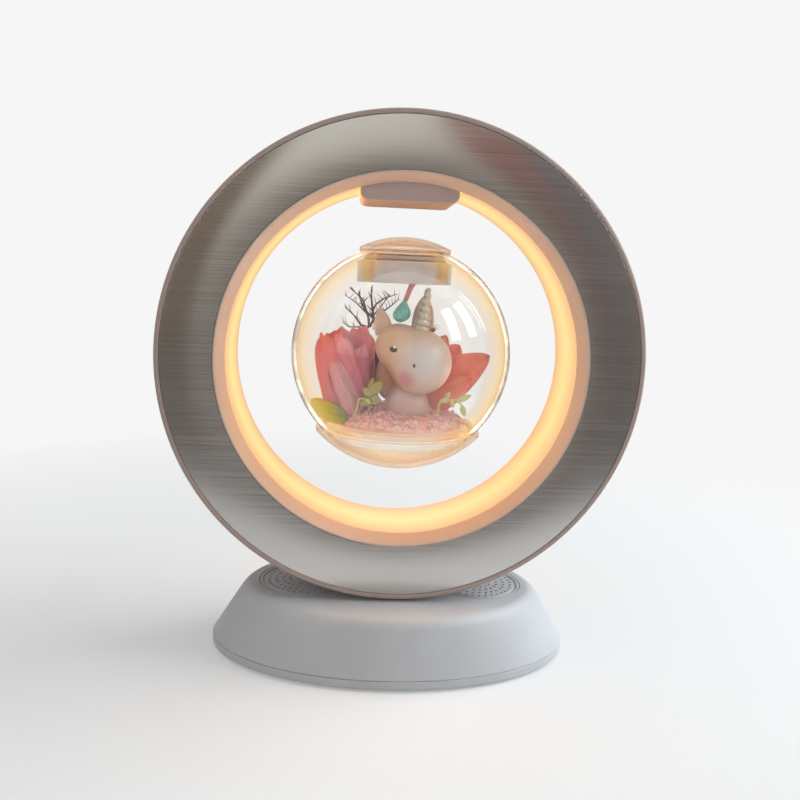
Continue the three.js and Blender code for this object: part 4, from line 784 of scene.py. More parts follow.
def clear_acrylic(name, face_on, edge_reflection, unbent, roughness=0.015):
    """Clear acrylic with a glossy skin and faint smears, and a painted warm reflection of the light band where it is
    seen edge-on.

    A share of the light, and all that casts shadows, goes through unbent.
    """
    finish = Finish(name, face_on, roughness, Transmission_Weight=1.0, IOR=1.2, Coat_Weight=1.0, Coat_IOR=1.5,
                    Coat_Roughness=0.02)
    slant = finish.add("ShaderNodeLayerWeight", {"Blend": 0.5}).outputs["Facing"]
    # Painted reflection: the colour turns warm where the surface is seen edge-on, standing for the light band mirrored
    # there.
    tint = finish.ramp(slant, [(0.4, face_on), (0.62, mixed(face_on, edge_reflection, 0.5)), (0.85, edge_reflection)])
    finish.paint("Base Color", tint)
    smears = finish.noise(45.0, 4.0, 0.6, 0.6, (1, 1, 2.2))
    finish.paint("Roughness", finish.spread(smears, 0.42, 0.75, roughness * 0.4, roughness * 2.2))
    shadow = finish.add("ShaderNodeLightPath").outputs["Is Shadow Ray"]
    share = finish.math("MAXIMUM", shadow, unbent)
    # Light going through unbent takes the same colour, painted reflection included.
    through = finish.add("ShaderNodeBsdfTransparent", {"Color": tint}).outputs["BSDF"]
    finish.show(finish.mix_shaders(share, finish.shader.outputs["BSDF"], through))
    return finish.material


def petal_skin(name, face, edge, shade, vein_scale=30.0, edge_share=0.75):
    """A dried petal: its face streaked from root to rim, its rims more vivid and its root in shade."""
    finish = Finish(name, face, 0.62, Specular_IOR_Level=0.25, Sheen_Weight=0.25, Subsurface_Weight=0.12,
                    Subsurface_Radius=(0.004, 0.0015, 0.001), Subsurface_Scale=0.3)
    veins = finish.noise(1.0, 5.0, 0.65, 0.8, (vein_scale, 2.2, 1), sheet=True)
    blotch = finish.noise(190.0, 3.0, 0.6)
    rim = finish.math("ABSOLUTE", finish.math("SUBTRACT", finish.axis("X", sheet=True), 0.5), 0.0)
    up = finish.axis("Y", sheet=True)
    border = finish.math("MAXIMUM", finish.spread(rim, 0.2, 0.5), finish.spread(up, edge_share, 1.0))
    uneven = finish.math("ADD", border, finish.spread(veins, 0.35, 0.65, -0.35, 0.35))
    streaked = finish.ramp(uneven, [(0.0, face), (0.45, mixed(face, edge, 0.5)), (1.0, edge)])
    above_root = finish.math("ADD", up, finish.spread(veins, 0.3, 0.7, -0.2, 0.2))
    rooted = finish.mix(finish.spread(above_root, 0.0, 0.7, 0.7, 0.0), streaked, shade)
    tone = finish.ramp(blotch, [(0.3, (0.78, 0.74, 0.76)), (0.55, (0.96, 0.94, 0.95)), (0.75, (1.0, 1.0, 1.0))])
    inputs = {"Factor": 0.8, "A": rooted, "B": tone}
    blend = finish.add("ShaderNodeMix", inputs, data_type="RGBA", blend_type="MULTIPLY")
    finish.paint("Base Color", blend.outputs["Result"])
    finish.bump(veins, 0.4, 0.0004)
    return finish.material


def leaf_skin(name, face, shade, low_x, high_x):
    """A preserved leaf: fine veins along it, going from one colour to another along X."""
    finish = Finish(name, face, 0.45, Specular_IOR_Level=0.4, Subsurface_Weight=0.1, Subsurface_Scale=0.2)
    along = finish.spread(finish.axis("X"), low_x, high_x)
    veins = finish.noise(1.0, 4.0, 0.6, 1.2, (20, 6, 1), sheet=True)
    mixed_along = finish.math("ADD", along, finish.spread(veins, 0.3, 0.7, -0.25, 0.25))
    finish.paint("Base Color", finish.ramp(mixed_along, [(0.1, face), (0.55, mixed(face, shade, 0.5)), (0.95, shade)]))
    finish.bump(veins, 0.4, 0.0003)
    return finish.material


def painted_resin(name, base_colour, warm, patches=()):
    """Hand-painted resin: a satin skin with brush-soft shade, and patches: airbrushed paint such as a blush, and
    painted light and shade.

    A patch is a place, the distances at which it starts and stops fading, and its colour.
    """
    finish = Finish(name, base_colour, 0.4, Specular_IOR_Level=0.4, Subsurface_Weight=0.15,
                    Subsurface_Radius=(0.003, 0.002, 0.0015), Subsurface_Scale=0.4)
    strokes = finish.noise(110.0, 4.0, 0.6, 0.5, (1, 1, 2.5))
    paint = finish.ramp(strokes, [(0.3, warm), (0.52, base_colour), (0.8, shaded(base_colour, 1.05))])
    for centre, inner, outer, tone in patches:
        paint = finish.mix(finish.near(BALL_CENTRE + centre, inner, outer), paint, tone)
    finish.paint("Base Color", paint)
    finish.bump(finish.noise(900.0, 3.0), 0.12, 0.00008)
    return finish.material


def gravel_grains(name, base_colour):
    """Sugar-fine tinted gravel: pale crystals among pink and darker rose ones."""
    finish = Finish(name, base_colour, 0.5, Specular_IOR_Level=0.5, Subsurface_Weight=0.2, Subsurface_Scale=0.2)
    grains = finish.cells(900.0, "Color")
    patches = finish.noise(150.0, 3.0, 0.6)
    grain_value = finish.add("ShaderNodeSeparateColor", {"Color": grains}).outputs["Red"]
    tone = finish.math("ADD", finish.math("MULTIPLY", grain_value, 0.45), finish.math("MULTIPLY", patches, 0.55))
    dark, pale = (0.45, 0.12, 0.14), (0.9, 0.8, 0.78)
    stops = [(0.25, mixed(base_colour, dark, 0.3)), (0.45, base_colour), (0.62, mixed(base_colour, pale, 0.25)),
             (0.8, mixed(base_colour, pale, 0.6))]
    finish.paint("Base Color", finish.ramp(tone, stops))
    finish.bump(finish.cells(900.0), 0.7, 0.0004)
    return finish.material


def circuit_board(name):
    """Green solder mask with copper-toned runs."""
    finish = Finish(name, (0.03, 0.12, 0.05), 0.35, Specular_IOR_Level=0.5)
    runs = finish.cells(420.0, stretch=(1, 1, 0.4))
    cloud = finish.noise(260.0, 2.0)
    tone = finish.math("ADD", finish.math("MULTIPLY", runs, 0.6), finish.math("MULTIPLY", cloud, 0.4))
    stops = [(0.2, (0.02, 0.08, 0.035)), (0.45, (0.03, 0.16, 0.06)), (0.7, (0.3, 0.22, 0.08))]
    finish.paint("Base Color", finish.ramp(tone, stops))
    finish.bump(runs, 0.3, 0.0002)
    return finish.material


def wound_copper(name):
    """Enamelled wire wound in even turns."""
    finish = Finish(name, (0.5, 0.17, 0.06), 0.3, Metallic=1.0)
    turns = finish.math("SINE", finish.math("MULTIPLY", finish.axis("Z"), 12000.0), 0.0)
    stops = [(0.2, (0.22, 0.06, 0.02)), (0.8, (0.6, 0.22, 0.08))]
    finish.paint("Base Color", finish.ramp(finish.spread(turns, -1, 1), stops))
    finish.bump(turns, 0.6, 0.0002)
    return finish.material


def dull_black(name, base_colour, grain=1400.0):
    """Rubber or felted paper: near black, with a fine rough skin."""
    finish = Finish(name, base_colour, 0.8, Specular_IOR_Level=0.25)
    skin = finish.noise(grain, 4.0, 0.7)
    finish.paint_tones(skin, base_colour, 0.7, 1.35)
    finish.bump(skin, 0.5, 0.00015)
    return finish.material


# Sub-shapes that several operators share.


def ring_outline(ring, has_tongue):
    """Section (radius, depth) of one shell: rim, plate recess, slanted lip, light channel and seam."""
    outer, depth, opening, lip_end = ring.outer_radius, ring.half_depth, ring.opening_radius, ring.lip_end
    carrier, tongue, gap, half_seam, fine = ring.carrier_radius, ring.tongue, ring.gap, ring.seam, ring.fine_edge
    deep = ring.plate_back - gap
    inner_face = deep - ring.face_wall
    ledge_radius, ledge = opening + ring.diffuser_wall + gap, lip_end - ring.shelf
    strip_radius = carrier - ring.carrier_wall
    hollow = outer - ring.wall
    half_wall = hollow + (ring.wall - gap) / 2
    lip_top, rim_top = ring.plate_inner - gap / 2, ring.plate_outer + gap / 2
    seam = [(hollow, -tongue, 0), (half_wall, -tongue, 0), (half_wall, half_seam, 0)]
    if not has_tongue:
        rebate = tongue + gap
        seam = [(hollow, rebate, 0), (half_wall + gap, rebate, 0), (half_wall + gap, half_seam, 0)]
    corners = [
        (outer, half_seam, fine), (outer, depth, ring.rim_fillet), (rim_top, depth, fine / 2), (rim_top, deep, 0),
        (lip_top, deep, 0), (lip_top, depth, fine / 2), (lip_top - ring.lip_flat, depth, fine),
        (opening, lip_end, fine * 2), (ledge_radius, lip_end, 0), (ledge_radius, ledge, 0), (strip_radius, ledge, 0),
        (strip_radius, half_seam, 0), (carrier, half_seam, 0), (carrier, inner_face, fine), (hollow, inner_face, fine),
    ]
    return rounded(corners + seam, steps=4)


def ring_shell(ring, is_front):
    """One shell: its section turned about Y, with the light channel drawn back behind the pod."""
    points, faces, sheet = turned(ring_outline(ring, is_front), ring.steps, axis="Y")
    behind_pod = (np.abs(points[:, 0]) < high("magnet_pod")[0]) & (points[:, 2] > 0)
    in_channel = np.hypot(points[:, 0], points[:, 2]) < ring.carrier_radius + ring.gap
    drawn_back = behind_pod & in_channel
    points[drawn_back, 1] = np.maximum(points[drawn_back, 1], ring.lip_end)
    if is_front:
        points[:, 1] *= -1
    return moved((points, faces, sheet), RING_CENTRE)


def pod_half_width(ring):
    """Half the width of the pod's block."""
    return high("hall_sensor_board")[0] + ring.pod_wall


def band_beside_pod(ring):
    """The band round the opening: its angle starts and ends where x = r sin a is just beside the pod."""
    inner, half, fine = ring.opening_radius, ring.diffuser_half, ring.fine_edge
    outer = inner + ring.diffuser_wall
    section = rounded([(inner, -half, fine), (outer, -half, fine), (outer, half, fine), (inner, half, fine)], steps=4)
    radius = section[:, :1]
    start = np.arcsin((pod_half_width(ring) + ring.gap) / radius)
    angle = start + (TURN - 2 * start) * np.linspace(0, 1, ring.steps)[None]
    depth = np.broadcast_to(section[:, 1:], angle.shape)
    points = np.stack([radius * np.sin(angle), depth, radius * np.cos(angle)], axis=-1)
    middle = points.mean(axis=0)
    caps = [grid(np.stack([points[:, end], np.broadcast_to(middle[end], points[:, end].shape)]), wrap_columns=True)
            for end in (0, -1)]
    return together([grid(points, wrap_rows=True)] + caps)


def oval_side(base, level):
    """Half length and half width of the leaning side at a level."""
    shoulder = base.height - base.shoulder_drop
    lean = (level - base.cover_top) / (shoulder - base.cover_top)
    return (
        base.bottom_length + (base.shoulder_length - base.bottom_length) * lean,
        base.bottom_width + (base.shoulder_width - base.bottom_width) * lean,
    )


def oval_rings(rows, steps):
    """Ovals (half length, half width, level) as a grid: P = (a cos t, b sin t, z)."""
    rows = np.asarray(rows)
    angle = angles_round(steps)
    level = np.broadcast_to(rows[:, 2:], (len(rows), steps))
    return np.stack([rows[:, :1] * np.cos(angle), rows[:, 1:2] * np.sin(angle), level], axis=-1)


def housing_skin(base, inset):
    """Rows of the housing from its lower edge to the middle of its top, drawn in by an inset."""
    top = base.height - inset
    shoulder = top - base.shoulder_drop
    start = np.array([*oval_side(base, shoulder), shoulder])
    corner = np.array([*oval_side(base, top), top])
    finish = np.array([base.top_length, base.top_width, top])
    levels = np.linspace(base.shell_bottom, shoulder, 14)[:-1]
    straight = np.array([[*oval_side(base, level), level] for level in levels])
    rows = np.concatenate([straight, bend(start, corner, finish, 14)])
    rows[:, :2] -= inset
    flat = rows[-1] * np.stack([np.linspace(0.92, 0, 8), np.linspace(0.92, 0, 8), np.ones(8)], axis=-1)
    if inset == 0:
        rows[0, :2] -= base.fine_edge
        rows = np.insert(rows, 1, rows[0] + base.fine_edge, axis=0)
    return np.concatenate([rows, flat])


def head_distance(points, figure):
    """Signed distance to the head: two spheres joined by a smooth minimum."""
    skull = np.linalg.norm(points - np.array(figure.skull), axis=-1) - figure.skull_radius
    muzzle = np.linalg.norm(points - np.array(figure.muzzle), axis=-1) - figure.muzzle_radius
    share = np.clip(0.5 + (skull - muzzle) / (2 * figure.head_blend), 0, 1)
    return skull * (1 - share) + muzzle * share - figure.head_blend * share * (1 - share)


def reach_head(start, direction, figure, steps=60):
    """Walks from start along direction to the head's skin, each step as long as the distance left."""
    points = np.array(start, dtype=float)
    for _ in range(steps):
        points = points + direction * head_distance(points, figure)[..., None]
    return points


def head_skin(figure, rows=88, columns=112):
    """The head as seen from its middle: for each direction, the place where a walk inwards ends."""
    centre = (np.array(figure.skull) + np.array(figure.muzzle)) / 2
    out = directions(rows, columns)
    reach = 3 * figure.muzzle_radius
    return grid(reach_head(centre + reach * out, -out, figure), wrap_columns=True)


def onto_face(figure, x, z):
    """The places on the head's front at (x, z)."""
    start = np.stack([x, np.full_like(x, -4 * figure.muzzle_radius), z], axis=-1)
    return reach_head(start, np.array([0.0, 1.0, 0.0]), figure)


def face_disc(figure, across_up, half_width, half_height, lift, rows=10, columns=36):
    """A shallow lens that lies on the face: each of its points is dropped onto the skin and lifted."""
    share = np.linspace(0, 1, rows)[:, None]
    angle = angles_round(columns)
    skin = onto_face(figure, across_up[0] + half_width * share * np.cos(angle),
                     across_up[1] + half_height * share * np.sin(angle))
    front = skin - np.array([0, 1, 0]) * (lift * np.sqrt(1 - share**2))[..., None]
    back = skin[::-1] + np.array([0, 1, 0]) * lift / 2
    return grid(np.concatenate([front, back]), wrap_columns=True)


def ear(root, tip, half_width, facing, blunt):
    """An ear: an oval section that narrows as 1 - t^blunt to its tip, pressed in at its front."""
    root, tip, facing = np.array(root), np.array(tip), np.asarray(facing, dtype=float)
    t = np.linspace(0, 1, 26)[:, None, None]
    angle = angles_round(28)[None, :, None]
    along = unit(tip - root)
    side = unit(np.cross(along, facing))
    front = np.cross(side, along)
    width = half_width * (1 - t**blunt)
    hollow = 1 - 0.75 * np.clip(np.sin(angle), 0, 1) ** 2
    section = np.cos(angle) * side + 0.42 * np.sin(angle) * hollow * front
    points = root + t * (tip - root) + width * section
    base = np.broadcast_to(root, (1, 28, 3))
    return grid(np.concatenate([base, points]), wrap_columns=True)


def broad_petal(root, tip, half_width, facing, cup, roll, flare, seed):
    """A broad petal between its root and its round, ragged rim.

    Its width follows (1 - flare (1 - t^0.7))(1 - 0.3 t^9). Its middle bows out by cup, its rim and
    sides roll back by roll, and folds and creases grow towards the rim.
    """
    root, tip, facing = (np.asarray(p, dtype=float) for p in (root, tip, facing))
    s = np.linspace(-1, 1, 44)[None, :, None]
    t = np.linspace(0, 1, 48)[:, None, None]
    phase = np.random.default_rng(seed).uniform(0, TURN, 4)
    along = tip - root
    side = unit(np.cross(along, facing))
    front = unit(np.cross(side, along))
    width = half_width * (1 - flare * (1 - t**0.7)) * (1 - 0.3 * t**9)
    folds = np.sin(3.1 * s + 2 * t + phase[0]) + 0.6 * np.sin(7.3 * s + 4 * t + phase[1])
    creases = 0.16 * np.sin(19 * s + 3 * np.sin(4 * t + phase[2])) + 0.3 * np.sin(9 * t + 4 * s + phase[3])
    depth = cup * np.sin(math.pi * (0.2 + 0.65 * t)) * (1 - s**2)
    depth = depth - roll * (t**5 + 0.8 * np.abs(s) ** 4 * t) + 0.0008 * (0.3 + 0.7 * t) * (folds + creases)
    ragged = np.sin(5.3 * s + phase[3]) + 0.5 * np.sin(11 * s + phase[0]) + 0.2 * np.sin(23 * s + phase[1])
    rim = 1 - 0.1 * s**2 * t**3 + 0.022 * ragged * t**6
    return root + t * rim * along + width * s * side + depth * front


def through(places, steps):
    """A smooth path past several places: straight runs between them, evened out three times."""
    places = np.asarray(places, dtype=float)
    reach = np.concatenate([[0], np.cumsum(np.linalg.norm(np.diff(places, axis=0), axis=1))])
    at = np.linspace(0, reach[-1], steps)
    path = np.stack([np.interp(at, reach, places[:, axis]) for axis in range(3)], axis=-1)
    for _ in range(3):
        path[1:-1] = (path[:-2] + 2 * path[1:-1] + path[2:]) / 4
    return path


def blade(root, tip, half_width, facing, cup, seed, point_share, crumple, blunt):
    """A petal or leaf between its root and tip.

    Its width follows sin(pi t^(1/point_share))^blunt, and its middle bows out by cup.
    """
    draw = np.random.default_rng(seed)
    root, tip, facing = (np.asarray(p, dtype=float) for p in (root, tip, facing))
    s = np.linspace(-1, 1, 22)[None, :, None]
    t = np.linspace(0, 1, 36)[:, None, None]
    phase = draw.uniform(0, TURN, 3)
    along = tip - root
    side = unit(np.cross(along, facing))
    front = unit(np.cross(side, along))
    width = half_width * np.sin(math.pi * t ** (1 / point_share)) ** blunt
    folds = np.sin(6 * s + phase[0]) + 0.6 * np.sin(11 * s + 3 * t + phase[1])
    ripple = np.sin(5 * t + phase[2]) * s**2
    depth = cup * np.sin(math.pi * t) * (1 - s**2) + crumple * (0.5 * folds * t + ripple)
    return root + t * along + width * s * side + depth * front


# Operators. Each builds one piece or a group of like pieces.


class FLOWERLAMP_OT_stage(Operator):
    """Set the camera, the soft lamps, the pale floor and the backdrop"""

    bl_idname = "flower_lamp.stage"
    bl_label = "Stage"

    def execute(self, context):
        studio = context.scene.flower_lamp.studio
        add_camera(context.scene, studio)
        add_world(context.scene, studio)
        add_floor(studio)
        add_lamps()
        context.scene.view_settings.view_transform = "Standard"
        return {"FINISHED"}


def camera_axes(studio):
    """Rows are the camera's right, down and forward axes, from the vanishing point of Y and the roll."""
    middle = studio.picture_width / 2
    across = (studio.vanishing[0] - middle) / studio.focal_pixels
    down = (studio.vanishing[1] - middle) / studio.focal_pixels
    along_y = unit(np.array([across, down, 1.0]))
    up = np.array([math.sin(studio.roll), -math.cos(studio.roll), 0.0])
    along_z = unit(up - along_y * (up @ along_y))
    along_x = np.cross(along_y, along_z)
    return np.stack([along_x, along_y, along_z], axis=1)


def add_camera(scene, studio):
    """A camera at the photographer's place."""
    data = bpy.data.cameras.new("camera")
    data.sensor_width = 36.0
    data.lens = data.sensor_width * studio.focal_pixels / studio.picture_width
    data.clip_start = 0.01
    camera = add_object("camera", data)
    right, down, forward = camera_axes(studio)
    camera.matrix_world = matrix_of(right, -down, -forward, studio.camera)
    scene.camera = camera


def add_world(scene, studio):
    """Soft even light in a pale room, and the cards that the steel mirrors.

    The camera, straight or through glass, sees the backdrop. Metal and gloss see upright cards, a
    bright one beside brown and grey ones, that repeat every sixth of a turn, stand above a dark
    table edge and end in a pale ceiling.
    """
    world = bpy.data.worlds.new("studio")
    world.use_nodes = True
    room = NodePlan(world.node_tree)
    soft = room.nodes["Background"]
    soft.inputs["Color"].default_value = (0.97, 0.97, 0.98, 1)
    soft.inputs["Strength"].default_value = 0.3
    outwards = room.add("ShaderNodeTexCoord").outputs["Object"]
    direction = room.add("ShaderNodeSeparateXYZ", {"Vector": outwards}).outputs
    turn = room.math("ARCTAN2", direction["X"], room.math("MULTIPLY", direction["Y"], -1.0))
    share = room.math("FRACT", room.math("ADD", room.math("MULTIPLY", turn, 6 / TURN), 0.5), 0.0)
    brown, bright = (0.27, 0.20, 0.15), (0.98, 0.95, 0.86)
    red, grey = (0.36, 0.17, 0.14), (0.19, 0.175, 0.185)
    cards = room.ramp(share, [(0.0, brown), (0.28, brown), (0.36, bright), (0.60, shaded(bright, 0.94)), (0.64, red),
                              (0.73, red), (0.80, grey), (1.0, mixed(grey, brown, 0.5))])
    table = room.ramp(share, [(0.0, shaded(brown, 0.9)), (0.6, shaded(brown, 0.9)), (0.7, grey), (1.0, grey)])
    upright = room.mix(room.spread(direction["Z"], 0.035, 0.12), table, cards)
    seen_in_metal = room.mix(room.spread(direction["Z"], 0.42, 0.6), upright, (0.84, 0.83, 0.80))
    mirrored = room.add("ShaderNodeBackground", {"Color": seen_in_metal, "Strength": 1.0}).outputs["Background"]
    pale = room.add("ShaderNodeBackground", {"Color": studio.backdrop, "Strength": 1.0}).outputs["Background"]
    path = room.add("ShaderNodeLightPath").outputs
    lit = room.mix_shaders(path["Is Glossy Ray"], soft.outputs["Background"], mirrored)
    seen = room.mix_shaders(room.seen_plainly(), lit, pale)
    room.links.new(seen, room.nodes["World Output"].inputs["Surface"])
    scene.world = world


def add_floor(studio):
    """A wide pale floor that keeps the lamp's shadow and fades into the backdrop.

    In metal it is pale close to the lamp and dark beyond, like the edge of a table.
    """
    size = studio.floor_size
    corners = np.array([[[-size, -size, 0.0], [size, -size, 0.0]], [[-size, size, 0.0], [size, size, 0.0]]])
    finish = Finish("floor", (0.8, 0.8, 0.8), 0.7, Specular_IOR_Level=0.0)
    distance = finish.add("ShaderNodeVectorMath", {0: finish.coordinates()}, operation="LENGTH").outputs["Value"]
    lit = finish.add("ShaderNodeBsdfDiffuse", {"Color": (0.70, 0.70, 0.70)}).outputs["BSDF"]
    lift = finish.add("ShaderNodeEmission", {"Color": (0.27, 0.27, 0.27)}).outputs["Emission"]
    pale = finish.add("ShaderNodeEmission", {"Color": studio.backdrop}).outputs["Emission"]
    dark = finish.add("ShaderNodeEmission", {"Color": (0.165, 0.145, 0.13)}).outputs["Emission"]
    near = finish.add("ShaderNodeAddShader", {0: lit, 1: lift}).outputs["Shader"]
    path = finish.add("ShaderNodeLightPath").outputs
    to_dark = finish.mix_shaders(finish.spread(distance, 0.19, 0.25), near, dark)
    to_pale = finish.mix_shaders(finish.spread(distance, 0.15, 0.42), near, pale)
    in_metal = finish.mix_shaders(path["Is Glossy Ray"], lit, to_dark)
    finish.show(finish.mix_shaders(finish.seen_plainly(), in_metal, to_pale))
    add_object("floor", build_mesh("floor", grid(corners), finish.material))


def area_lamp(name, place_at, width, height, power, tint):
    """A rectangular lamp that faces the ball."""
    data = bpy.data.lights.new(name, "AREA")
    data.shape = "RECTANGLE"
    data.size = width
    data.size_y = height
    data.energy = power
    data.color = tint
    lamp = add_object(name, data)
    back = unit(np.asarray(place_at, dtype=float) - BALL_CENTRE)
    right = unit(np.cross(UP, back))
    lamp.matrix_world = matrix_of(right, np.cross(back, right), back, place_at)
    lamp.visible_camera = False
    lamp.visible_transmission = False
    return lamp


def add_lamps():
    """A cool window at the right, whose two panes show in gloss, a soft light above and a weak warm fill."""
    cool = (0.87, 0.95, 1.0)
    area_lamp("window_light", (1.0, 0.08, 0.52), 0.95, 0.95, 13.5, cool).visible_glossy = False
    area_lamp("window_left_pane", (1.03, -0.22, 0.74), 0.22, 0.62, 5.0, cool).visible_diffuse = False
    area_lamp("window_right_pane", (0.87, -0.59, 0.74), 0.22, 0.62, 5.0, cool).visible_diffuse = False
    area_lamp("overhead", (0.1, -0.1, 1.3), 1.2, 1.2, 2.7, (1.0, 0.99, 0.97))
    area_lamp("fill", (-0.9, -0.7, 0.5), 0.8, 0.8, 1.8, (1.0, 0.92, 0.82))


class FLOWERLAMP_OT_ring(Operator):
    """Build the ring's two moulded shells, its steel plates, the light band and the magnet pod"""

    bl_idname = "flower_lamp.ring"
    bl_label = "Ring"

    def execute(self, context):
        settings = context.scene.flower_lamp
        ring, tones = settings.ring, settings.finishes
        # Painted shade that darkens the shells towards their outer rim.
        rim = (tones.rim, ring.rim_shade_start, ring.rim_shade_full)
        shell = moulded_plastic("ring_plastic", tones.shell, 0.38, rim=rim)
        for side in ("front", "rear"):
            surface = ring_shell(ring, side == "front")
            add_piece(f"{side}_ring_skin", surface, shell, "lamp", [f"ring_{side}_shell"])
        steel = brushed_steel("brushed_steel", tones.steel)
        fine = ring.fine_edge / 2
        inner, outer, back, face = ring.plate_inner, ring.plate_outer, ring.plate_back, ring.plate_face
        section = rounded([(inner, back, fine), (outer, back, fine), (outer, face, fine), (inner, face, fine)], 4)
        for side, sign in (("front", -1), ("rear", 1)):
            plate = turned(section * [1, sign], ring.steps, axis="Y", centre=RING_CENTRE)
            add_piece(f"{side}_steel_plate", plate, steel, "lamp", [f"{side}_face_plate"])
        glow = light_band("lit_diffuser", tones.glow, tones.glow_edge, ring.diffuser_half)
        band = moved(band_beside_pod(ring), RING_CENTRE)
        add_piece("glowing_band", band, glow, "lamp", ["light_diffuser"])
        add_pod(ring, tones)
        return {"FINISHED"}


def add_pod(ring, tones):
    """The pod: a block along Y whose lower edges are rounded."""
    half, fine = pod_half_width(ring), ring.fine_edge
    (_, _, bottom), (_, depth, top) = low("magnet_pod"), high("magnet_pod")
    section = rounded([(-half, bottom, ring.pod_fillet), (half, bottom, ring.pod_fillet),
                       (half, top, fine), (-half, top, fine)], steps=10)
    middle = section.mean(axis=0)
    turn = np.linspace(0, math.pi / 2, 7)
    inset = 2 * fine * (1 - np.sin(turn))
    front = -depth + 2 * fine * (1 - np.cos(turn))
    rows = []
    for draw_in, level in [*zip(inset, front), *zip(inset[::-1], -front[::-1])]:
        shape = middle + (section - middle) * (1 - draw_in / half)
        rows.append(np.stack([shape[:, 0], np.full(len(shape), level), shape[:, 1]], axis=-1))
    ends = [np.broadcast_to([middle[0], level, middle[1]], rows[0].shape) for level in (-depth, depth)]
    surface = grid(np.stack([ends[0], *rows, ends[1]]), wrap_columns=True)
    finish = moulded_plastic("pod_plastic", tones.pod, 0.34, relief=0.00001, mottle=0.08)
    add_piece("coil_pod", surface, finish, "lamp", ["magnet_pod"])


class FLOWERLAMP_OT_base(Operator):
    """Build the oval housing, its cover, the speaker grilles, the saddle, the socket and the feet"""

    bl_idname = "flower_lamp.base"
    bl_label = "Base"

    def execute(self, context):
        settings = context.scene.flower_lamp
        base, tones = settings.base, settings.finishes
        plastic = moulded_plastic("base_plastic", tones.base, 0.44)
        add_housing(base, plastic)
        add_cover(base, plastic)
        add_grilles(base, moulded_plastic("grille_plastic", tones.grille, 0.46))
        add_saddle(settings.ring, plastic)
        add_feet(dull_black("foot_rubber_skin", tones.rubber))
        add_buttons(base, moulded_plastic("button_plastic", shaded(tones.base, 0.96), 0.36))
        add_socket(base, dull_black("socket_plastic", (0.02, 0.02, 0.022)))
        return {"FINISHED"}


def add_housing(base, plastic):
    """The oval shell: outer and inner skins joined at the lower edge, with its openings cut."""
    outer = oval_rings(housing_skin(base, 0), base.steps)
    inner = oval_rings(housing_skin(base, base.wall), base.steps)
    edge = grid(np.stack([outer[0], inner[0]]), wrap_columns=True)
    shell = together([grid(outer, wrap_columns=True), grid(inner, wrap_columns=True), edge])
    over = base.height + base.wall
    under = base.height - 3 * base.wall
    cutters = []
    for name in ("speaker_grille_left", "speaker_grille_right"):
        centre, radius = (centre_of(name)[0], 0, 0), half_across(name)
        cutters.append(cylinder(radius + base.gap, low(name)[2] - base.gap, over, centre))
        cutters.append(cylinder(radius - base.ledge, under, over - base.wall / 2, centre))
    holes = [(*centre_of(f"button_{kind}")[[0, 2]], base.button_radius) for kind in ("minus", "power", "plus")]
    holes.append((centre_of("power_socket")[0], base.socket_level, base.socket_radius))
    for x, z, radius in holes:
        cutters.append(cylinder(radius + base.gap, base.top_width / 2, base.bottom_width, (x, 0, z), "Y", 48))
    add_piece("oval_housing", shell, plastic, "lamp", ["base_shell"], cutters)


def add_cover(base, plastic):
    """The cover under the parting line: a shallow oval tray with recesses for the feet."""
    inside = base.wall + base.gap
    within = inside + base.cover_lip
    edge, fine = base.cover_edge, base.fine_edge
    bevel = np.linspace(0.2, math.pi / 2, 7)
    outside = [(edge + inset, base.cover_bottom) for inset in (0.02, 0.006, 0.0)]
    outside += [(edge * (1 - math.sin(t)), base.cover_bottom + edge * (1 - math.cos(t))) for t in bevel]
    outside += [(0, base.cover_top - fine), (fine, base.cover_top), (inside, base.cover_top)]
    lip_top = base.cover_top + base.wall
    lip = [(inside, lip_top), (within, lip_top), (within, base.cover_floor)]
    rows = [(0, 0, base.cover_bottom)]
    for level_of_side, insets in ((base.cover_top, outside), (lip_top, lip)):
        half_length, half_width = oval_side(base, level_of_side)
        rows += [(half_length - inset, half_width - inset, level) for inset, level in insets]
    rows.append((0, 0, base.cover_floor))
    surface = grid(oval_rings(rows, base.steps), wrap_columns=True)
    cutters = []
    for number in range(1, 5):
        foot = f"rubber_foot_{number}"
        centre = (*centre_of(foot)[:2], 0)
        cutters.append(cylinder(half_across(foot) + base.gap, -base.gap, high(foot)[2] + base.gap, centre))
        cutters.append(cylinder(base.screw_hole, 0.0, base.cover_top, centre, steps=32))
    add_piece("base_cover_skin", surface, plastic, "lamp", ["base_bottom_cover"], cutters)


def add_grilles(base, plastic):
    """Two round grilles: a centre hole, rings of seven more holes each, and a groove round them."""
    for side in ("left", "right"):
        name = f"speaker_grille_{side}"
        x, radius, bottom, top = centre_of(name)[0], half_across(name), low(name)[2], high(name)[2]
        groove = radius - base.grille_groove
        inner = groove - base.grille_groove
        floor, fine = top - base.groove_depth, base.fine_edge
        disc = lathed([(0, bottom, 0), (radius, bottom, fine), (radius, top, fine), (groove, top, fine),
                       (groove, floor, fine), (inner, floor, fine), (inner, top, fine), (0, top, 0)],
                      128, (x, 0, 0), fillet_steps=4)
        holes = []
        for number in range(base.dot_rings + 1):
            away = number * base.dot_pitch
            for angle in angles_round(max(1, 7 * number)):
                centre = (x + away * math.cos(angle), away * math.sin(angle), 0)
                holes.append(cylinder(base.dot_radius, bottom - base.gap, top + base.gap, centre, steps=10))
        add_piece(f"{side}_grille_disc", disc, plastic, "lamp", [name], holes)


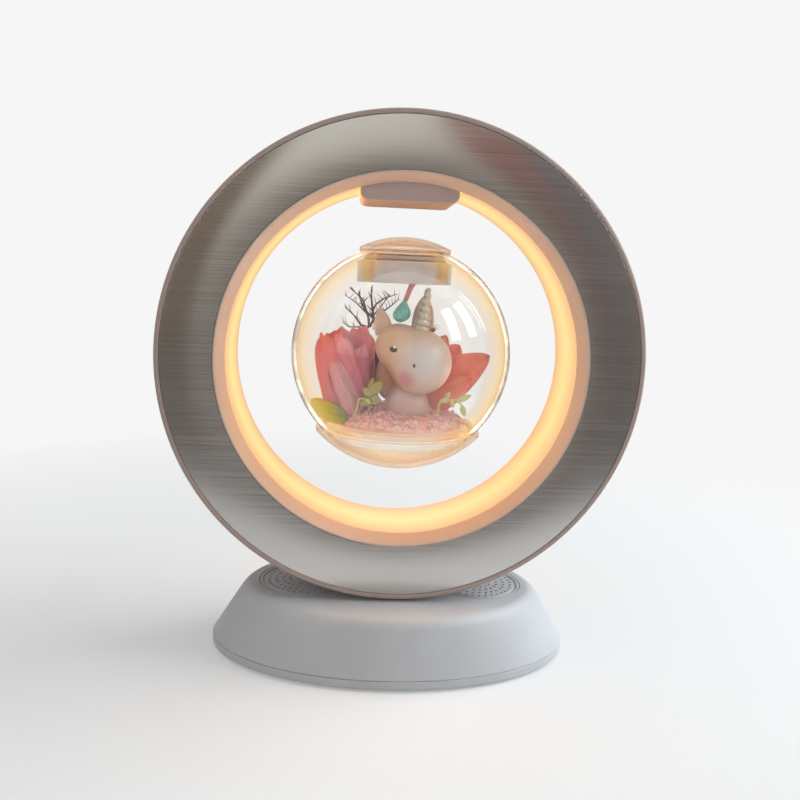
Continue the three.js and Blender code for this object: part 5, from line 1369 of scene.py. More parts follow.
def add_saddle(ring, plastic):
    """The saddle: a rounded block with a cradle that follows the ring's rim, and a plug in the base."""
    bottom, top, base_top = low("ring_saddle"), high("ring_saddle"), high("base_shell")[2]
    beyond_rim, into_block = 0.0015, 0.0008
    plug_length, plug_width = 0.010, 0.0095
    block = rounded_block([bottom[0], bottom[1], base_top + ring.gap], top + [0, 0, beyond_rim], 0.003, 0.0004)
    plug = rounded_block([-plug_length, -plug_width, bottom[2]],
                         [plug_length, plug_width, base_top + into_block], 0.001, 0.0003)
    cradle = cylinder(ring.outer_radius + ring.gap, -0.03, 0.03, RING_CENTRE, "Y", ring.steps)
    add_piece("cradle_block", together([block, plug]), plastic, "lamp", ["ring_saddle"], [cradle])


def add_feet(rubber):
    """Four round feet with a bevelled tread and a shallow dimple."""
    for number in range(1, 5):
        name = f"rubber_foot_{number}"
        radius, top, dimple = half_across(name), high(name)[2], 0.0002
        surface = lathed([(0, dimple, 0), (radius * 0.6, dimple, 0.0003), (radius * 0.7, 0, 0.0003),
                          (radius, 0, 0.0005), (radius, top, 0.0002), (0, top, 0)], 64, (*centre_of(name)[:2], 0))
        add_piece(f"foot_pad_{number}", surface, rubber, "lamp", [name])


def add_buttons(base, plastic):
    """Three round buttons: a domed cap through the wall, a collar behind it, a stem and a raised mark.

    The bars of a mark are a place on the cap and two half sizes, in millimetres.
    """
    level, upright = (0, 0, 1.1, 0.3), (0, 0, 0.3, 1.1)
    for kind, bars in (("minus", [level]), ("plus", [level, upright]), ("power", [(0, 0.7, 0.3, 0.8)])):
        name = f"button_{kind}"
        x, _, z = centre_of(name)
        near, far = low(name)[1], high(name)[1]
        cap, collar, stem = base.button_radius, half_across(name), 0.0012
        back, front = near + 0.0012, near + 0.0022
        shapes = [lathed([(0, near, 0), (stem, near, 0.0002), (stem, back, 0), (collar, back, 0.0002),
                          (collar, front, 0.0002), (cap, front, 0), (cap, far, 0.0009), (0, far, 0)],
                         64, (x, 0, z), "Y")]
        for bar in bars:
            across, up, half_x, half_z = np.array(bar) * MM
            shapes.append(rounded_block([x + across - half_x, far - 0.0003, z + up - half_z],
                                        [x + across + half_x, far + 0.00005, z + up + half_z], 0.0002, 0.00005))
        add_piece(f"{kind}_key", together(shapes), plastic, name, [name])


def add_socket(base, plastic):
    """The power socket: a barrel with a bore and a centre pin, on its square body."""
    corner, top = low("power_socket"), high("power_socket")
    centre = (centre_of("power_socket")[0], 0, base.socket_level)
    near, far, outer, bore, pin = corner[1] + 0.0004, top[1], base.socket_radius, 0.0031, 0.0009
    floor, foot, tip = far - 0.0085, far - 0.009, far - 0.001
    barrel = lathed([(bore, floor, 0), (bore, far, 0.0002), (outer, far, 0.0004), (outer, near, 0), (0, near, 0),
                     (0, floor, 0)], 72, centre, "Y")
    contact = lathed([(0, foot, 0), (pin, foot, 0), (pin, tip, 0.0005), (0, tip, 0)], 24, centre, "Y")
    body = rounded_block(corner, [top[0], corner[1] + 0.010, top[2]], 0.0006, 0.0003)
    shapes = together([barrel, contact, body])
    add_piece("socket_barrel", shapes, plastic, "lamp", ["power_socket"])


class FLOWERLAMP_OT_ball(Operator):
    """Build the clear sphere, its cap and cup, the clear floor and the magnet with its holder"""

    bl_idname = "flower_lamp.ball"
    bl_label = "Clear Ball"

    def execute(self, context):
        settings = context.scene.flower_lamp
        ball, tones = settings.ball, settings.finishes
        # Their edge colours are painted warm reflections of the light band.
        blown = clear_acrylic("blown_acrylic", tones.acrylic, tones.sphere_edge_reflection, 0.0)
        pressed = clear_acrylic("pressed_acrylic", tones.acrylic, tones.acrylic_edge_reflection, 0.75)
        shapes = {"sphere_wall": (sphere_outline(ball), blown, "ball_shell"),
                  "crown_cap": (cap_outline(ball), pressed, "ball_top_cap"),
                  "lower_cup": (cup_outline(ball), pressed, "ball_bottom_cap"),
                  "floor_disc": (floor_outline(ball), pressed, "ball_floor")}
        for name, (outline, finish, node) in shapes.items():
            surface = turned(outline, ball.steps, centre=BALL_CENTRE, is_open=outline[0, 0] == 0)
            add_piece(name, surface, finish, "ball", [node])
        add_magnet(ball, tones)
        return {"FINISHED"}


def sphere_outline(ball):
    """Section of the sphere between its two openings, with eased edges."""
    inner = ball.radius - ball.wall
    bottom = math.acos(-ball.bottom_level / ball.radius)
    inner_bottom = math.acos(-ball.bottom_level / inner)
    outer_arc = arc(ball.radius, 0, math.asin(ball.top_hole / ball.radius), bottom, 72)
    inner_arc = arc(inner, 0, inner_bottom, math.asin(ball.top_hole / inner), 72)
    return np.concatenate([outer_arc, inner_arc])


def dome(rim, rise):
    """Radius of the sphere through a rim and a crown that lies rise above it."""
    return (rim**2 + rise**2) / (2 * rise)


def cap_outline(ball):
    """Section of the top cap: its dome outside and inside, its rim on the sphere and its spigot."""
    radius = dome(ball.cap_rim, ball.cap_top - ball.cap_rim_level)
    centre = ball.cap_top - radius
    spigot = ball.top_hole - ball.gap
    hole = spigot - ball.cap_wall
    inner = radius - ball.cap_wall
    clear = ball.radius - ball.wall
    level = math.sqrt(clear**2 - ball.top_hole**2)
    bottom = level - ball.spigot + ball.wall

    def seat(away):
        """Height just above the sphere at a distance from its axis."""
        return math.sqrt(ball.radius**2 - away**2) + ball.gap

    crown = arc(radius, centre, 0, math.asin(ball.cap_rim / radius), 30)
    under = np.array([[ball.cap_rim, seat(ball.cap_rim)], [spigot, seat(spigot)], [spigot, bottom], [hole, bottom]])
    inside = arc(inner, centre, math.asin(hole / inner), 0, 24)
    return np.concatenate([crown, under, inside])


def cup_outline(ball):
    """Section of the bottom cup: a dome below a flat rim."""
    rim_top = -ball.bottom_level - ball.gap
    rim_low = rim_top - ball.cup_rim_height
    radius = dome(ball.cup_rim, ball.cup_bottom + rim_low)
    centre = radius - ball.cup_bottom
    inner = radius - ball.cup_wall
    rim_inner = ball.cup_rim - ball.cup_rim_width
    outside = arc(radius, centre, math.pi, math.pi - math.asin(ball.cup_rim / radius), 30)
    rim = np.array([[ball.cup_rim, rim_top], [rim_inner, rim_top]])
    inside = arc(inner, centre, math.pi - math.asin(rim_inner / inner), math.pi, 24)
    return np.concatenate([outside, rim, inside])


def floor_outline(ball):
    """Section of the clear floor, a disc whose edge follows the sphere."""
    top = -ball.bottom_level + ball.floor_thickness
    fit = ball.radius - ball.wall - ball.gap
    low_edge = math.sqrt(fit**2 - ball.bottom_level**2) - ball.gap
    high_edge = math.sqrt(fit**2 - top**2) - ball.gap
    section = rounded([(0, -ball.bottom_level, 0), (low_edge, -ball.bottom_level, ball.gap),
                       (high_edge, top, ball.gap), (0, top, 0)])
    return np.vstack([section, section[:1]])


def add_magnet(ball, tones):
    """The plated magnet with eased edges and a recess, and the dark holder above it."""
    edge, bore, sink = 0.0006, 0.004, 0.0064
    bottom, top, rim, recess = ball.magnet_low, ball.magnet_high, ball.magnet_radius, ball.magnet_low + 0.0013
    section = rounded([(sink, bottom, edge / 2), (rim, bottom, edge), (rim, top, edge), (bore, top, edge / 2),
                       (bore, recess, 0), (sink, recess, 0)])
    disc = turned(section, 144, centre=BALL_CENTRE)
    nickel = plain_metal("plated_magnet", tones.magnet, 0.16, (1, 1, 6))
    add_piece("plated_disc", disc, nickel, "float_magnet", ["float_magnet"])
    (_, _, bottom), (rim, _, top) = low("magnet_holder") - BALL_CENTRE, high("magnet_holder") - BALL_CENTRE
    foot, stem, step, plate = 0.0058, 0.0037, bottom + 0.001, top - 0.0012
    button = lathed([(0, bottom, 0), (foot, bottom, 0.0004), (foot, step, 0.0002), (stem, step, 0), (stem, plate, 0),
                     (rim, plate, 0.0003), (rim, top, 0.0003), (0, top, 0)], 96, (0, 0, 0))
    holder = moulded_plastic("holder_plastic", tones.magnet, 0.3)
    add_in_ball("magnet_button", [button], holder, ["magnet_holder"])


class FLOWERLAMP_OT_gravel(Operator):
    """Build the mound of fine gravel with loose grains on it"""

    bl_idname = "flower_lamp.gravel"
    bl_label = "Gravel Bed"

    def execute(self, context):
        settings = context.scene.flower_lamp
        ball = settings.ball
        finish = gravel_grains("gravel_grains", settings.finishes.gravel)
        surfaces = [gravel_mound(ball), gravel_pebbles(ball)]
        add_in_ball("gravel_mound", surfaces, finish, ["gravel_bed"], sharp=50)
        return {"FINISHED"}


def mound_level(ball, x, y):
    """Height of the gravel: a low mound that falls at its edge, with lumps a few grains wide."""
    away = np.hypot(x, y) / ball.bed_radius
    fall = 0.0036 * np.clip(away, 0, 1) ** 4
    lumps = 0.00035 * np.sin(900 * x + 2 * np.sin(700 * y)) * np.sin(820 * y + 1.7 * np.sin(600 * x))
    swells = 0.0005 * np.sin(210 * x + 0.7) * np.sin(180 * y + 1.9)
    return -ball.bed_top + swells + lumps * (1 - away**6) - fall


def gravel_mound(ball):
    """P = (r cos a, r sin a, level) over a closed underside."""
    share = np.linspace(0, 1, 90)[:, None]
    angle = angles_round(220)[None, :]
    away = ball.bed_radius * share**0.8
    x, y = away * np.cos(angle), away * np.sin(angle)
    top = np.stack([x, y, mound_level(ball, x, y)], axis=-1)
    foot_radius = ball.bed_radius * np.array([0.99, 0.96, 0.0])[:, None]
    foot_x, foot_y = foot_radius * np.cos(angle), foot_radius * np.sin(angle)
    foot = np.stack([foot_x, foot_y, np.full_like(foot_x, -ball.bed_bottom)], axis=-1)
    return grid(np.concatenate([top, foot]), wrap_columns=True)


def gravel_pebbles(ball):
    """Loose grains: small lumpy ellipsoids, scattered over the mound with a fixed seed."""
    draw = np.random.default_rng(11)
    count = ball.pebbles
    away = ball.bed_radius * np.sqrt(draw.uniform(0, 0.93, count))
    angle = draw.uniform(0, TURN, count)
    x, y = away * np.cos(angle), away * np.sin(angle)
    size = draw.uniform(0.00035, 0.0009, (count, 1, 1, 1))
    stretch = draw.uniform(0.7, 1.25, (count, 1, 1, 3))
    lift = 0.0002
    centre = np.stack([x, y, mound_level(ball, x, y) + lift], axis=-1)[:, None, None]
    points = centre + directions(5, 6)[None] * size * stretch
    return together([grid(pebble, wrap_columns=True) for pebble in points])


class FLOWERLAMP_OT_figure(Operator):
    """Build the figure: its body, head, ears, face, horn, brow drop, plume and beads"""

    bl_idname = "flower_lamp.figure"
    bl_label = "Figure"

    def execute(self, context):
        settings = context.scene.flower_lamp
        figure, tones = settings.figure, settings.finishes
        # Painted shadow: a brown patch on the nape below the head.
        shade = (np.array(figure.nape) - [0.002, 0.003, 0.0], 0.003, 0.009, (0.42, 0.19, 0.11))
        resin = painted_resin("body_paint", tones.body, mixed(tones.body, tones.blush, 0.35), [shade])
        add_body(figure, resin)
        add_head(figure, tones)
        add_horn(figure, tones)
        add_brow(figure, tones)
        return {"FINISHED"}


def add_body(figure, resin):
    """The body: radius R (0.78 + 0.24 sin(1.1 pi t) - 0.2 t^2) over its height, and the nape above it."""
    t = np.linspace(0, 1, 40)
    radius = figure.body_radius * (0.78 + 0.24 * np.sin(math.pi * np.clip(t * 1.1, 0, 1)) - 0.2 * t**2)
    foot = np.stack([np.linspace(0, radius[0], 5)[:-1], np.zeros(4)], axis=-1)
    wall = np.stack([radius, t * figure.body_height], axis=-1)
    outline = np.concatenate([foot, wall, [[0, figure.body_height]]])
    trunk = turned(outline, 72, centre=figure.body, is_open=True)
    nape = ellipsoid(figure.nape, figure.nape_radii)
    add_in_ball("figure_trunk", [trunk, nape], resin, ["figure_body"])


def add_head(figure, tones):
    """The head with its ears, its painted face with painted light and shade, and the small pieces laid on its skin."""
    muzzle, cheek = np.array(figure.muzzle), onto_face(figure, *np.array(figure.cheek))
    # The muzzle's tone: pale paint, greyed by a painted reflection.
    patches = [(muzzle + [0.0015, -0.008, 0.001], 0.004, 0.0125, tones.muzzle),
               # Painted light: a pale pink rim of warm light on the muzzle's right edge.
               (muzzle + [0.0105, -0.004, -0.003], 0.001, 0.007, mixed(tones.muzzle, (0.95, 0.62, 0.52), 0.7)),
               # Painted shadow: warm brown shade below and left of the head.
               (muzzle + [-0.0125, -0.001, -0.0075], 0.003, 0.009, (0.36, 0.13, 0.05)),
               (cheek, 0.001, 0.0045, tones.blush)]
    skin = painted_resin("head_paint", tones.cream, mixed(tones.cream, tones.blush, 0.25), patches)
    ears = [ear(figure.left_ear, figure.left_ear_tip, figure.ear_width, (-0.2, -1.0, 0.1), 3.0),
            ear(figure.right_ear, figure.right_ear_tip, figure.ear_width * 1.25, (0.1, -1.0, 0.1), 4.0)]
    add_in_ball("figure_head_skin", [head_skin(figure)] + ears, skin, ["figure_head"])
    dark = dull_black("face_paint", (0.07, 0.035, 0.03))
    eye = face_disc(figure, figure.eye, 0.0013, 0.0010, 0.00035)
    nostril = face_disc(figure, figure.nostril, 0.00042, 0.0007, 0.0002)
    add_in_ball("eye_and_nostril", [eye, nostril], dark)
    add_beads(figure)


def add_beads(figure):
    """The painted highlight in the eye, three pearls and a bead, each an ellipsoid given in millimetres."""
    glint = face_disc(figure, np.array(figure.eye) + [0.0003, 0.0008], 0.0005, 0.00045, 0.00062, 6, 16)
    beads = [ellipsoid(np.array(centre) * MM, np.array(radii) * MM, 14, 20) for centre, radii in (
        ((11.9, -8.0, 10.8), (0.9, 0.9, 1.1)), ((-10.4, -2.0, 9.8), (0.7, 0.7, 1.3)),
        ((-8.9, -6.0, 5.8), (0.7, 0.7, 1.3)), ((10.7, -8.6, 9.8), (0.8, 0.8, 0.8)))]
    # The eye's painted highlight is a white disc in the pearls' finish.
    add_in_ball("pearls", [glint] + beads[:3], plain_pearl("pearl"))
    add_in_ball("rose_bead", beads[3:], dull_black("bead_paint", (0.2, 0.09, 0.06)))


def plain_pearl(name):
    """A pearl: white, glossy, with a faint coat."""
    finish = Finish(name, (0.86, 0.84, 0.82), 0.22, Specular_IOR_Level=0.6, Coat_Weight=0.6, Coat_Roughness=0.08)
    cloud = finish.noise(400.0, 2.0)
    finish.paint("Base Color", finish.ramp(cloud, [(0.3, (0.82, 0.78, 0.78)), (0.7, (0.92, 0.9, 0.88))]))
    return finish.material


def add_horn(figure, tones):
    """The horn: a tapering tube whose radius swells by a ridge (1.6 |sin(a/2 - 7 pi t)|^0.6 - 0.8)."""
    root, tip = np.array(figure.horn), np.array(figure.horn_tip)
    t = np.linspace(0, 1, 120)[:, None]
    angle = angles_round(36)[None, :]
    along = unit(tip - root)
    side = unit(np.cross(along, [0.0, 1.0, 0.0]))
    front = np.cross(side, along)
    winding = np.abs(np.sin(angle / 2 - 7 * math.pi * t)) ** 0.6
    radius = figure.horn_radius * (1 - t) + figure.horn_tip_radius * t + figure.horn_ridge * (1.6 * winding - 0.8)
    spokes = np.cos(angle)[..., None] * side + np.sin(angle)[..., None] * front
    points = (root + t * (tip - root))[:, None] + radius[..., None] * spokes
    ends = [np.broadcast_to(p, (1, 36, 3)) for p in (root, tip + along * figure.horn_tip_radius * 0.6)]
    surface = grid(np.concatenate([ends[0], points, ends[1]]), wrap_columns=True)
    finish = plain_metal("horn_paint", tones.horn, 0.38, metallic=0.55)
    add_in_ball("wound_horn", [surface], finish, ["figure_horn"])


def add_brow(figure, tones):
    """The drop on the brow, r = 1.25 R sin(pi t^0.8)^0.8 (1 - 0.5 t), and the plume that rises from it."""
    t = np.linspace(0, 1, 40)
    radius = figure.gem_radius * 1.25 * np.sin(math.pi * t**0.8) ** 0.8 * (1 - 0.5 * t)
    outline = np.stack([radius, (t - 0.5) * figure.gem_height], axis=-1)
    outline[[0, -1], 0] = 0
    points, faces, sheet = turned(outline, 40, is_open=True)
    points[:, 0] += figure.gem_lean * points[:, 2]
    drop = moved((points, faces, sheet), figure.gem)
    finish = Finish("drop_glaze", tones.gem, 0.3, Specular_IOR_Level=0.5, Coat_Weight=0.25, Coat_Roughness=0.2)
    weave = finish.noise(420.0, 4.0, 0.6)
    finish.paint_tones(weave, tones.gem, 0.6, 1.3)
    finish.bump(weave, 0.3, 0.0002)
    add_in_ball("brow_drop", [drop], finish.material, ["figure_gem"])
    draw = np.random.default_rng(5)
    root, tip = np.array(figure.plume), np.array(figure.plume_tip)
    barbs = [tube(bend(root, (root + tip) / 2, tip, 14), np.linspace(0.0009, 0.0004, 14), 8)]
    for step in np.linspace(0.15, 0.95, 11):
        start = root + (tip - root) * step
        for sign in (-1, 1):
            end = start + np.array([sign * 0.0012, draw.uniform(-0.0006, 0.0006), 0.0014]) * (0.5 + 0.5 * step)
            path = bend(start, (start + end) / 2 + [0, 0, 0.0001], end, 5)
            barbs.append(tube(path, np.linspace(0.0005, 0.0002, 5), 5, 0.6))
    red = petal_skin("plume_dye", mixed(tones.coral, (0.45, 0.03, 0.06), 0.45), tones.rose, (0.4, 0.04, 0.06))
    add_in_ball("brow_plume", barbs, red, ["figure_plume"])


class FLOWERLAMP_OT_rose(Operator):
    """Build the half-open rose from overlapping petals

    A petal is its root and tip from the rose's root, its half width, the way it faces, how far its
    middle bows out and its rim rolls back, all in millimetres, and how much it widens upwards.
    """

    bl_idname = "flower_lamp.rose"
    bl_label = "Rose"

    def execute(self, context):
        settings = context.scene.flower_lamp
        flowers, tones = settings.flowers, settings.finishes
        root, front, back = np.array(flowers.rose), (0.0, -1.0, 0.15), (0.0, 1.0, 0.2)
        rose, rim = tones.rose, tones.rose_edge
        # plum_shade is painted shade: it darkens the petals' roots and tints the heart and folded petal in the valley
        # between petals.
        crimson, plum_shade, pale = (0.34, 0.04, 0.06), (0.36, 0.11, 0.15), (0.66, 0.33, 0.33)
        groups = {
            "rose_petals": (rose, mixed(rose, rim, 0.4), plum_shade, [
                ((1, 0, -1), (3.2, 1.5, 28.6), 6.2, front, -2.5, -1.2, 0.15),
                ((0, 6, 2), (-1, 11, 24), 8, back, 3, 1.6, 0.4),
                ((2, 3, 1), (4.2, 6, 24), 4.5, (0.8, 0.6, 0.2), 2, 1, 0.3)]),
            "rose_back_petals": (mixed(rose, rim, 0.6), rim, plum_shade, [
                ((-2, 4, 3), (-5, 5.5, 27.2), 7.6, front, -2, 1, 0.2),
                ((-3, 4, 1), (-10.5, 7, 23), 6.5, (-0.7, 0.7, 0.2), 2.6, 1.4, 0.3)]),
            "rose_outer_petals": (mixed(rose, rim, 0.35), rim, mixed(plum_shade, rose, 0.6), [
                ((-3, -4, -2), (-11.2, -4.5, 25.2), 5.2, (-0.3, -1.0, 0.15), 2.6, 2.6, -0.1)]),
            "rose_folded_petal": (mixed(rose, plum_shade, 0.25), mixed(rose, rim, 0.3), plum_shade, [
                ((2.8, -4.6, 0), (-5.2, -5, 25.6), 4.6, (0.15, -1.0, 0.1), 2.2, 2, 0.0)]),
            "rose_pale_petal": (pale, mixed(pale, rose, 0.6), mixed(pale, plum_shade, 0.5), [
                ((1.6, -7, -2), (-5.8, -7.4, 16.8), 3.4, (0.2, -1.0, 0.1), 1.8, 1.4, -0.1)]),
            "rose_dark_petals": (crimson, mixed(crimson, rim, 0.3), crimson, [
                ((5, -1, 0), (7.2, -0.8, 17.6), 3.1, (0.3, -1.0, 0.1), 1, 0.8, 0.1)]),
            "rose_heart": (mixed(plum_shade, rose, 0.25), mixed(plum_shade, rose, 0.55), plum_shade, [
                ((1.8, -3, -1), (3.6, -2.4, 22.2), 4.6, (0.3, -1.0, 0.1), 1.4, -1, -0.1)]),
        }
        seed = 0
        for name, (face, edge, shade, petals) in groups.items():
            sheets = []
            for start, end, half_width, facing, cup, roll, flare in petals:
                seed += 1
                start, end = root + np.array(start) * MM, root + np.array(end) * MM
                sheets.append(broad_petal(start, end, half_width * MM, facing, cup * MM, roll * MM, flare, seed))
            nodes = ["rose_bloom"] if name == "rose_petals" else []
            add_petals(name, sheets, petal_skin(name + "_skin", face, edge, shade), flowers, nodes)
        return {"FINISHED"}


def add_petals(name, sheets, skin, flowers, nodes):
    """One piece from petals or leaves, each given its wall."""
    surfaces = [thick_sheet(sheet, flowers.petal_wall) for sheet in sheets]
    add_in_ball(name, surfaces, skin, nodes, sharp=70)


class FLOWERLAMP_OT_coral(Operator):
    """Build the pointed coral petals behind the figure

    A petal is its root and tip from the flower's root, its half width and how far its middle bows
    out, all in millimetres, and how far up it is widest.
    """

    bl_idname = "flower_lamp.coral"
    bl_label = "Coral Petals"

    def execute(self, context):
        settings = context.scene.flower_lamp
        flowers, tones = settings.flowers, settings.finishes
        root = np.array(flowers.coral)
        salmon, deep = mixed(tones.coral, (0.8, 0.5, 0.42), 0.5), mixed(tones.coral, (0.6, 0.08, 0.06), 0.25)
        groups = {
            "coral_petal_fan": (tones.coral, mixed(tones.coral, tones.rose, 0.5), [
                ((0, 1, 2), (23.6, -1, 17.4), 8.6, 1.8, 1.9), ((1, -1, -1), (16.8, -3, 9), 6, 1.6, 1.7)]),
            "salmon_petals": (salmon, mixed(salmon, tones.rose, 0.4), [((-2, 4, 3), (7.2, 3, 24.2), 6.4, 2, 1.6)]),
            "deep_coral_petals": (deep, tones.coral, [
                ((0, 5, 2), (12.8, 5, 20.5), 8, 2, 1.6), ((1, 6, 1), (19, 9, 12), 7, 2, 1.8)]),
        }
        facing = (0.15, -1.0, 0.2)
        seed = 3
        for name, (face, edge, petals) in groups.items():
            sheets = []
            for start, end, half_width, cup, point in petals:
                seed += 1
                start, end = root + np.array(start) * MM, root + np.array(end) * MM
                sheets.append(blade(start, end, half_width * MM, facing, cup * MM, seed, point, 0.0006, 0.6))
            skin = petal_skin(name + "_skin", face, edge, deep, 38.0, 0.9)
            nodes = ["coral_petals"] if name == "coral_petal_fan" else []
            add_petals(name, sheets, skin, flowers, nodes)
        return {"FINISHED"}


class FLOWERLAMP_OT_greenery(Operator):
    """Build the large leaf and the small green sprigs

    A sprig's stems are places in millimetres, and its leaves are a root, a tip and a half width.
    """

    bl_idname = "flower_lamp.greenery"
    bl_label = "Greenery"

    def execute(self, context):
        settings = context.scene.flower_lamp
        flowers, tones = settings.flowers, settings.finishes
        root, tip = np.array(flowers.leaf), np.array(flowers.leaf_tip)
        skin = leaf_skin("leaf_skin", tones.leaf, tones.leaf_shade, tip[0], root[0])
        leaf = blade(root, tip, flowers.leaf_width, (0.1, -0.8, 0.6), 0.0014, 1, 1.0, 0.0003, 0.5)
        add_petals("large_leaf", [leaf], skin, flowers, ["rose_leaf"])
        fresh = leaf_skin("sprig_skin", mixed(tones.leaf, (0.45, 0.55, 0.25), 0.6), tones.leaf_shade, 0.03, 0.06)
        olive = leaf_skin("moss_skin", (0.36, 0.29, 0.07), (0.36, 0.34, 0.10), 0.0, 0.02)
        right = sprig(
            [[(13.5, -12, -20.5), (13.7, -12, -16.1), (17.7, -12, -14.6), (21.0, -12, -14.9)],
             [(20.5, -12, -15.0), (22.2, -12, -16.8), (23.0, -12, -19.0)]],
            [((20.5, -12, -15.0), (25.2, -12, -12.8), 1.1), ((22.0, -12, -16.5), (23.3, -12, -20.5), 1.1),
             ((17.2, -12, -14.8), (13.8, -12, -15.5), 0.9), ((18.2, -12, -14.6), (19.0, -12, -17.6), 0.8),
             ((16.0, -11, -15.0), (17.6, -11, -12.0), 0.8)])
        left = sprig(
            [[(-17.2, -14, -23.6), (-15.5, -14, -19.1), (-15.0, -14, -15.0), (-12.4, -14, -15.1)]],
            [((-12.4, -14, -15.1), (-10.5, -14, -16.8), 0.6)])
        moss = sprig(
            [[(-11.0, -12, -21.5), (-11.2, -12, -15.0), (-8.5, -12, -10.8)]],
            [((-11.2, -12, -16.0), (-14.6, -13, -17.6), 1.3), ((-11.0, -12, -14.5), (-13.4, -12, -11.5), 1.2),
             ((-10.4, -12, -13.5), (-7.0, -12, -9.0), 1.8), ((-10.6, -12, -15.0), (-7.0, -12, -16.0), 1.6),
             ((-11.0, -11, -15.0), (-10.0, -10, -8.0), 1.5)])
        add_in_ball("green_sprigs", right + left, fresh, ["green_sprig"], sharp=70)
        add_in_ball("moss_sprig", moss, olive, sharp=70)
        return {"FINISHED"}


def sprig(stems, leaves):
    """Thin stems along paths, and small leaves from place to place."""
    shapes = [tube(through(np.array(stem) * MM, 24), np.linspace(0.0004, 0.00025, 24), 6) for stem in stems]
    for seed, (start, end, half_width) in enumerate(leaves):
        start, end = np.array(start) * MM, np.array(end) * MM
        leaf = blade(start, end, half_width * MM, (0.0, -1.0, 0.3), 0.0004, seed, 1.2, 0.0001, 0.6)
        shapes.append(thick_sheet(leaf, 0.0003))
    return shapes


class FLOWERLAMP_OT_twig(Operator):
    """Build the dried twig with its fan of thin spikes, given by their share of the stem and places in mm"""

    bl_idname = "flower_lamp.twig"
    bl_label = "Dried Twig"

    def execute(self, context):
        settings = context.scene.flower_lamp
        flowers, tones = settings.flowers, settings.finishes
        thick = flowers.twig_radius
        paths = [
            (1.25, [(-8, 9, -22), (-8.8, 6, -12), (-8.6, 3, -4.6), (-8.5, 3, 2.3), (-7.9, 4, 6.2)]),
            (0.9, [(-7.9, 4, 6.2), (-8.9, 4, 8.9), (-10.4, 4, 11.9), (-11.5, 4, 19.7), (-11.6, 4, 24.0)]),
            (0.7, [(-10.4, 4, 11.9), (-11.9, 4, 8.8), (-12.4, 4, 12.8), (-14.6, 4, 19.2), (-18.1, 4, 22.1),
                   (-19.8, 4, 23.4)]),
            (0.6, [(-10.6, 4, 12.5), (-13.7, 4, 15.2), (-15.9, 4, 19.8), (-16.4, 5, 22.0)]),
            (0.6, [(-11.9, 4, 9.0), (-15.1, 4, 9.7), (-17.8, 4, 13.3), (-21.2, 4, 16.2)]),
            (0.4, [(-13.5, 5, 14.5), (-16.9, 6, 17.7), (-21.6, 6, 20.7)]),
            (0.4, [(-15.1, 5, 9.0), (-19.5, 4, 8.8), (-21.8, 4, 10.4)]),
            (0.5, [(-10.9, 4, 15.0), (-9.7, 4, 17.7), (-6.7, 4, 19.9), (-2.0, 4, 21.7)]),
            (0.45, [(-8.5, 4, 14.0), (-4.9, 4, 16.6), (-1.0, 4, 20.0)]),
            (0.4, [(-10.8, 5, 13.0), (-7.4, 6, 17.4), (-4.4, 7, 21.6)]),
        ]
        shapes = []
        draw = np.random.default_rng(7)
        for share, places in paths:
            shapes += spike(np.array(places) * MM, thick * share, draw, share < 1)
        bark = dull_black("twig_bark", tones.twig, 900.0)
        add_in_ball("spiky_twig", shapes, bark, ["dried_twig"], sharp=60)
        return {"FINISHED"}


def spike(places, thick, draw, has_needles):
    """A thin curved branch, and fine needles that grow out of it."""
    path = through(places, 40)
    taper = np.linspace(1.0, 0.3 if has_needles else 0.9, 40)
    shapes = [tube(path, thick * taper, 8)]
    for step in range(10, 37, 5) if has_needles else ():
        side = unit(np.array([draw.uniform(-1, 1), draw.uniform(-0.6, 0.6), 0.9]))
        start = path[step]
        needle = bend(start, start + side * 0.0012, start + side * draw.uniform(0.0020, 0.0034), 5)
        shapes.append(tube(needle, np.linspace(thick * 0.55, thick * 0.15, 5), 5))
    return shapes


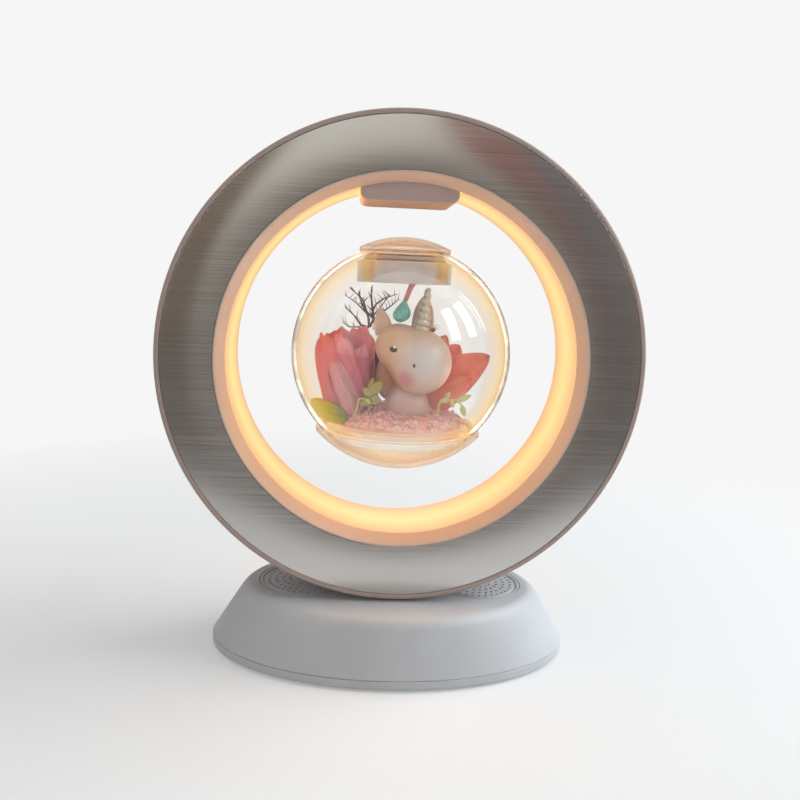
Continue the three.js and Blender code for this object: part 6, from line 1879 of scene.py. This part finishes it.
class FLOWERLAMP_OT_inner(Operator):
    """Finish the inner pieces, which keep the frame's shape"""

    bl_idname = "flower_lamp.inner"
    bl_label = "Inner Pieces"

    def execute(self, context):
        tones = context.scene.flower_lamp.finishes
        screws = [f"{part}_screw_{number}" for part in ("ring", "cover") for number in range(1, 5)]
        screws += ["saddle_screw_front", "saddle_screw_rear"]
        finish_nodes(screws, plain_metal("zinc_screw", (0.5, 0.51, 0.52), 0.32))
        finish_nodes(["led_strip"], moulded_plastic("strip_film", (0.8, 0.74, 0.62), 0.4))
        finish_nodes(["hall_sensor_board", "main_board", "button_board"], circuit_board("solder_mask"))
        finish_nodes(["coil_bobbin"], moulded_plastic("bobbin_plastic", shaded(tones.pod, 0.5), 0.4))
        finish_nodes(["levitation_coil"], wound_copper("wound_copper"))
        finish_nodes(["coil_core"], plain_metal("soft_iron", (0.3, 0.29, 0.28), 0.42))
        finish_nodes(["bias_magnet"], plain_metal("bias_plating", tones.magnet, 0.2))
        for side in ("left", "right"):
            finish_nodes([f"speaker_frame_{side}"], plain_metal(f"pressed_frame_{side}", (0.32, 0.31, 0.3), 0.38))
            finish_nodes([f"speaker_magnet_{side}"], plain_metal(f"ferrite_{side}", (0.12, 0.12, 0.12), 0.55))
            finish_nodes([f"speaker_cone_{side}"], dull_black(f"cone_paper_{side}", (0.04, 0.038, 0.036), 700.0))
        return {"FINISHED"}


STEPS = (
    FLOWERLAMP_OT_stage, FLOWERLAMP_OT_ring, FLOWERLAMP_OT_base, FLOWERLAMP_OT_ball, FLOWERLAMP_OT_gravel,
    FLOWERLAMP_OT_figure, FLOWERLAMP_OT_rose, FLOWERLAMP_OT_coral, FLOWERLAMP_OT_greenery, FLOWERLAMP_OT_twig,
    FLOWERLAMP_OT_inner,
)


class FLOWERLAMP_PT_build(Panel):
    """Buttons that build the lamp step by step"""

    bl_label = "Flower Lamp"
    bl_idname = "FLOWERLAMP_PT_build"
    bl_space_type = "VIEW_3D"
    bl_region_type = "UI"
    bl_category = "Flower Lamp"

    def draw(self, context):
        for step in STEPS:
            self.layout.operator(step.bl_idname, text=step.bl_label)


CLASSES = (
    RingSizes, BaseSizes, BallSizes, FigureSizes, FlowerSizes, Finishes, StudioSettings, LampSettings, *STEPS,
    FLOWERLAMP_PT_build,
)


def register():
    """Makes the classes and the scene's settings known."""
    for entry in CLASSES:
        bpy.utils.register_class(entry)
    bpy.types.Scene.flower_lamp = PointerProperty(type=LampSettings)


def unregister():
    """Takes them away again."""
    del bpy.types.Scene.flower_lamp
    for entry in reversed(CLASSES):
        bpy.utils.unregister_class(entry)


def main():
    """Builds the whole lamp."""
    register()
    for step in STEPS:
        section, action = step.bl_idname.split(".")
        getattr(getattr(bpy.ops, section), action)()


if __name__ == "__main__":
    main()
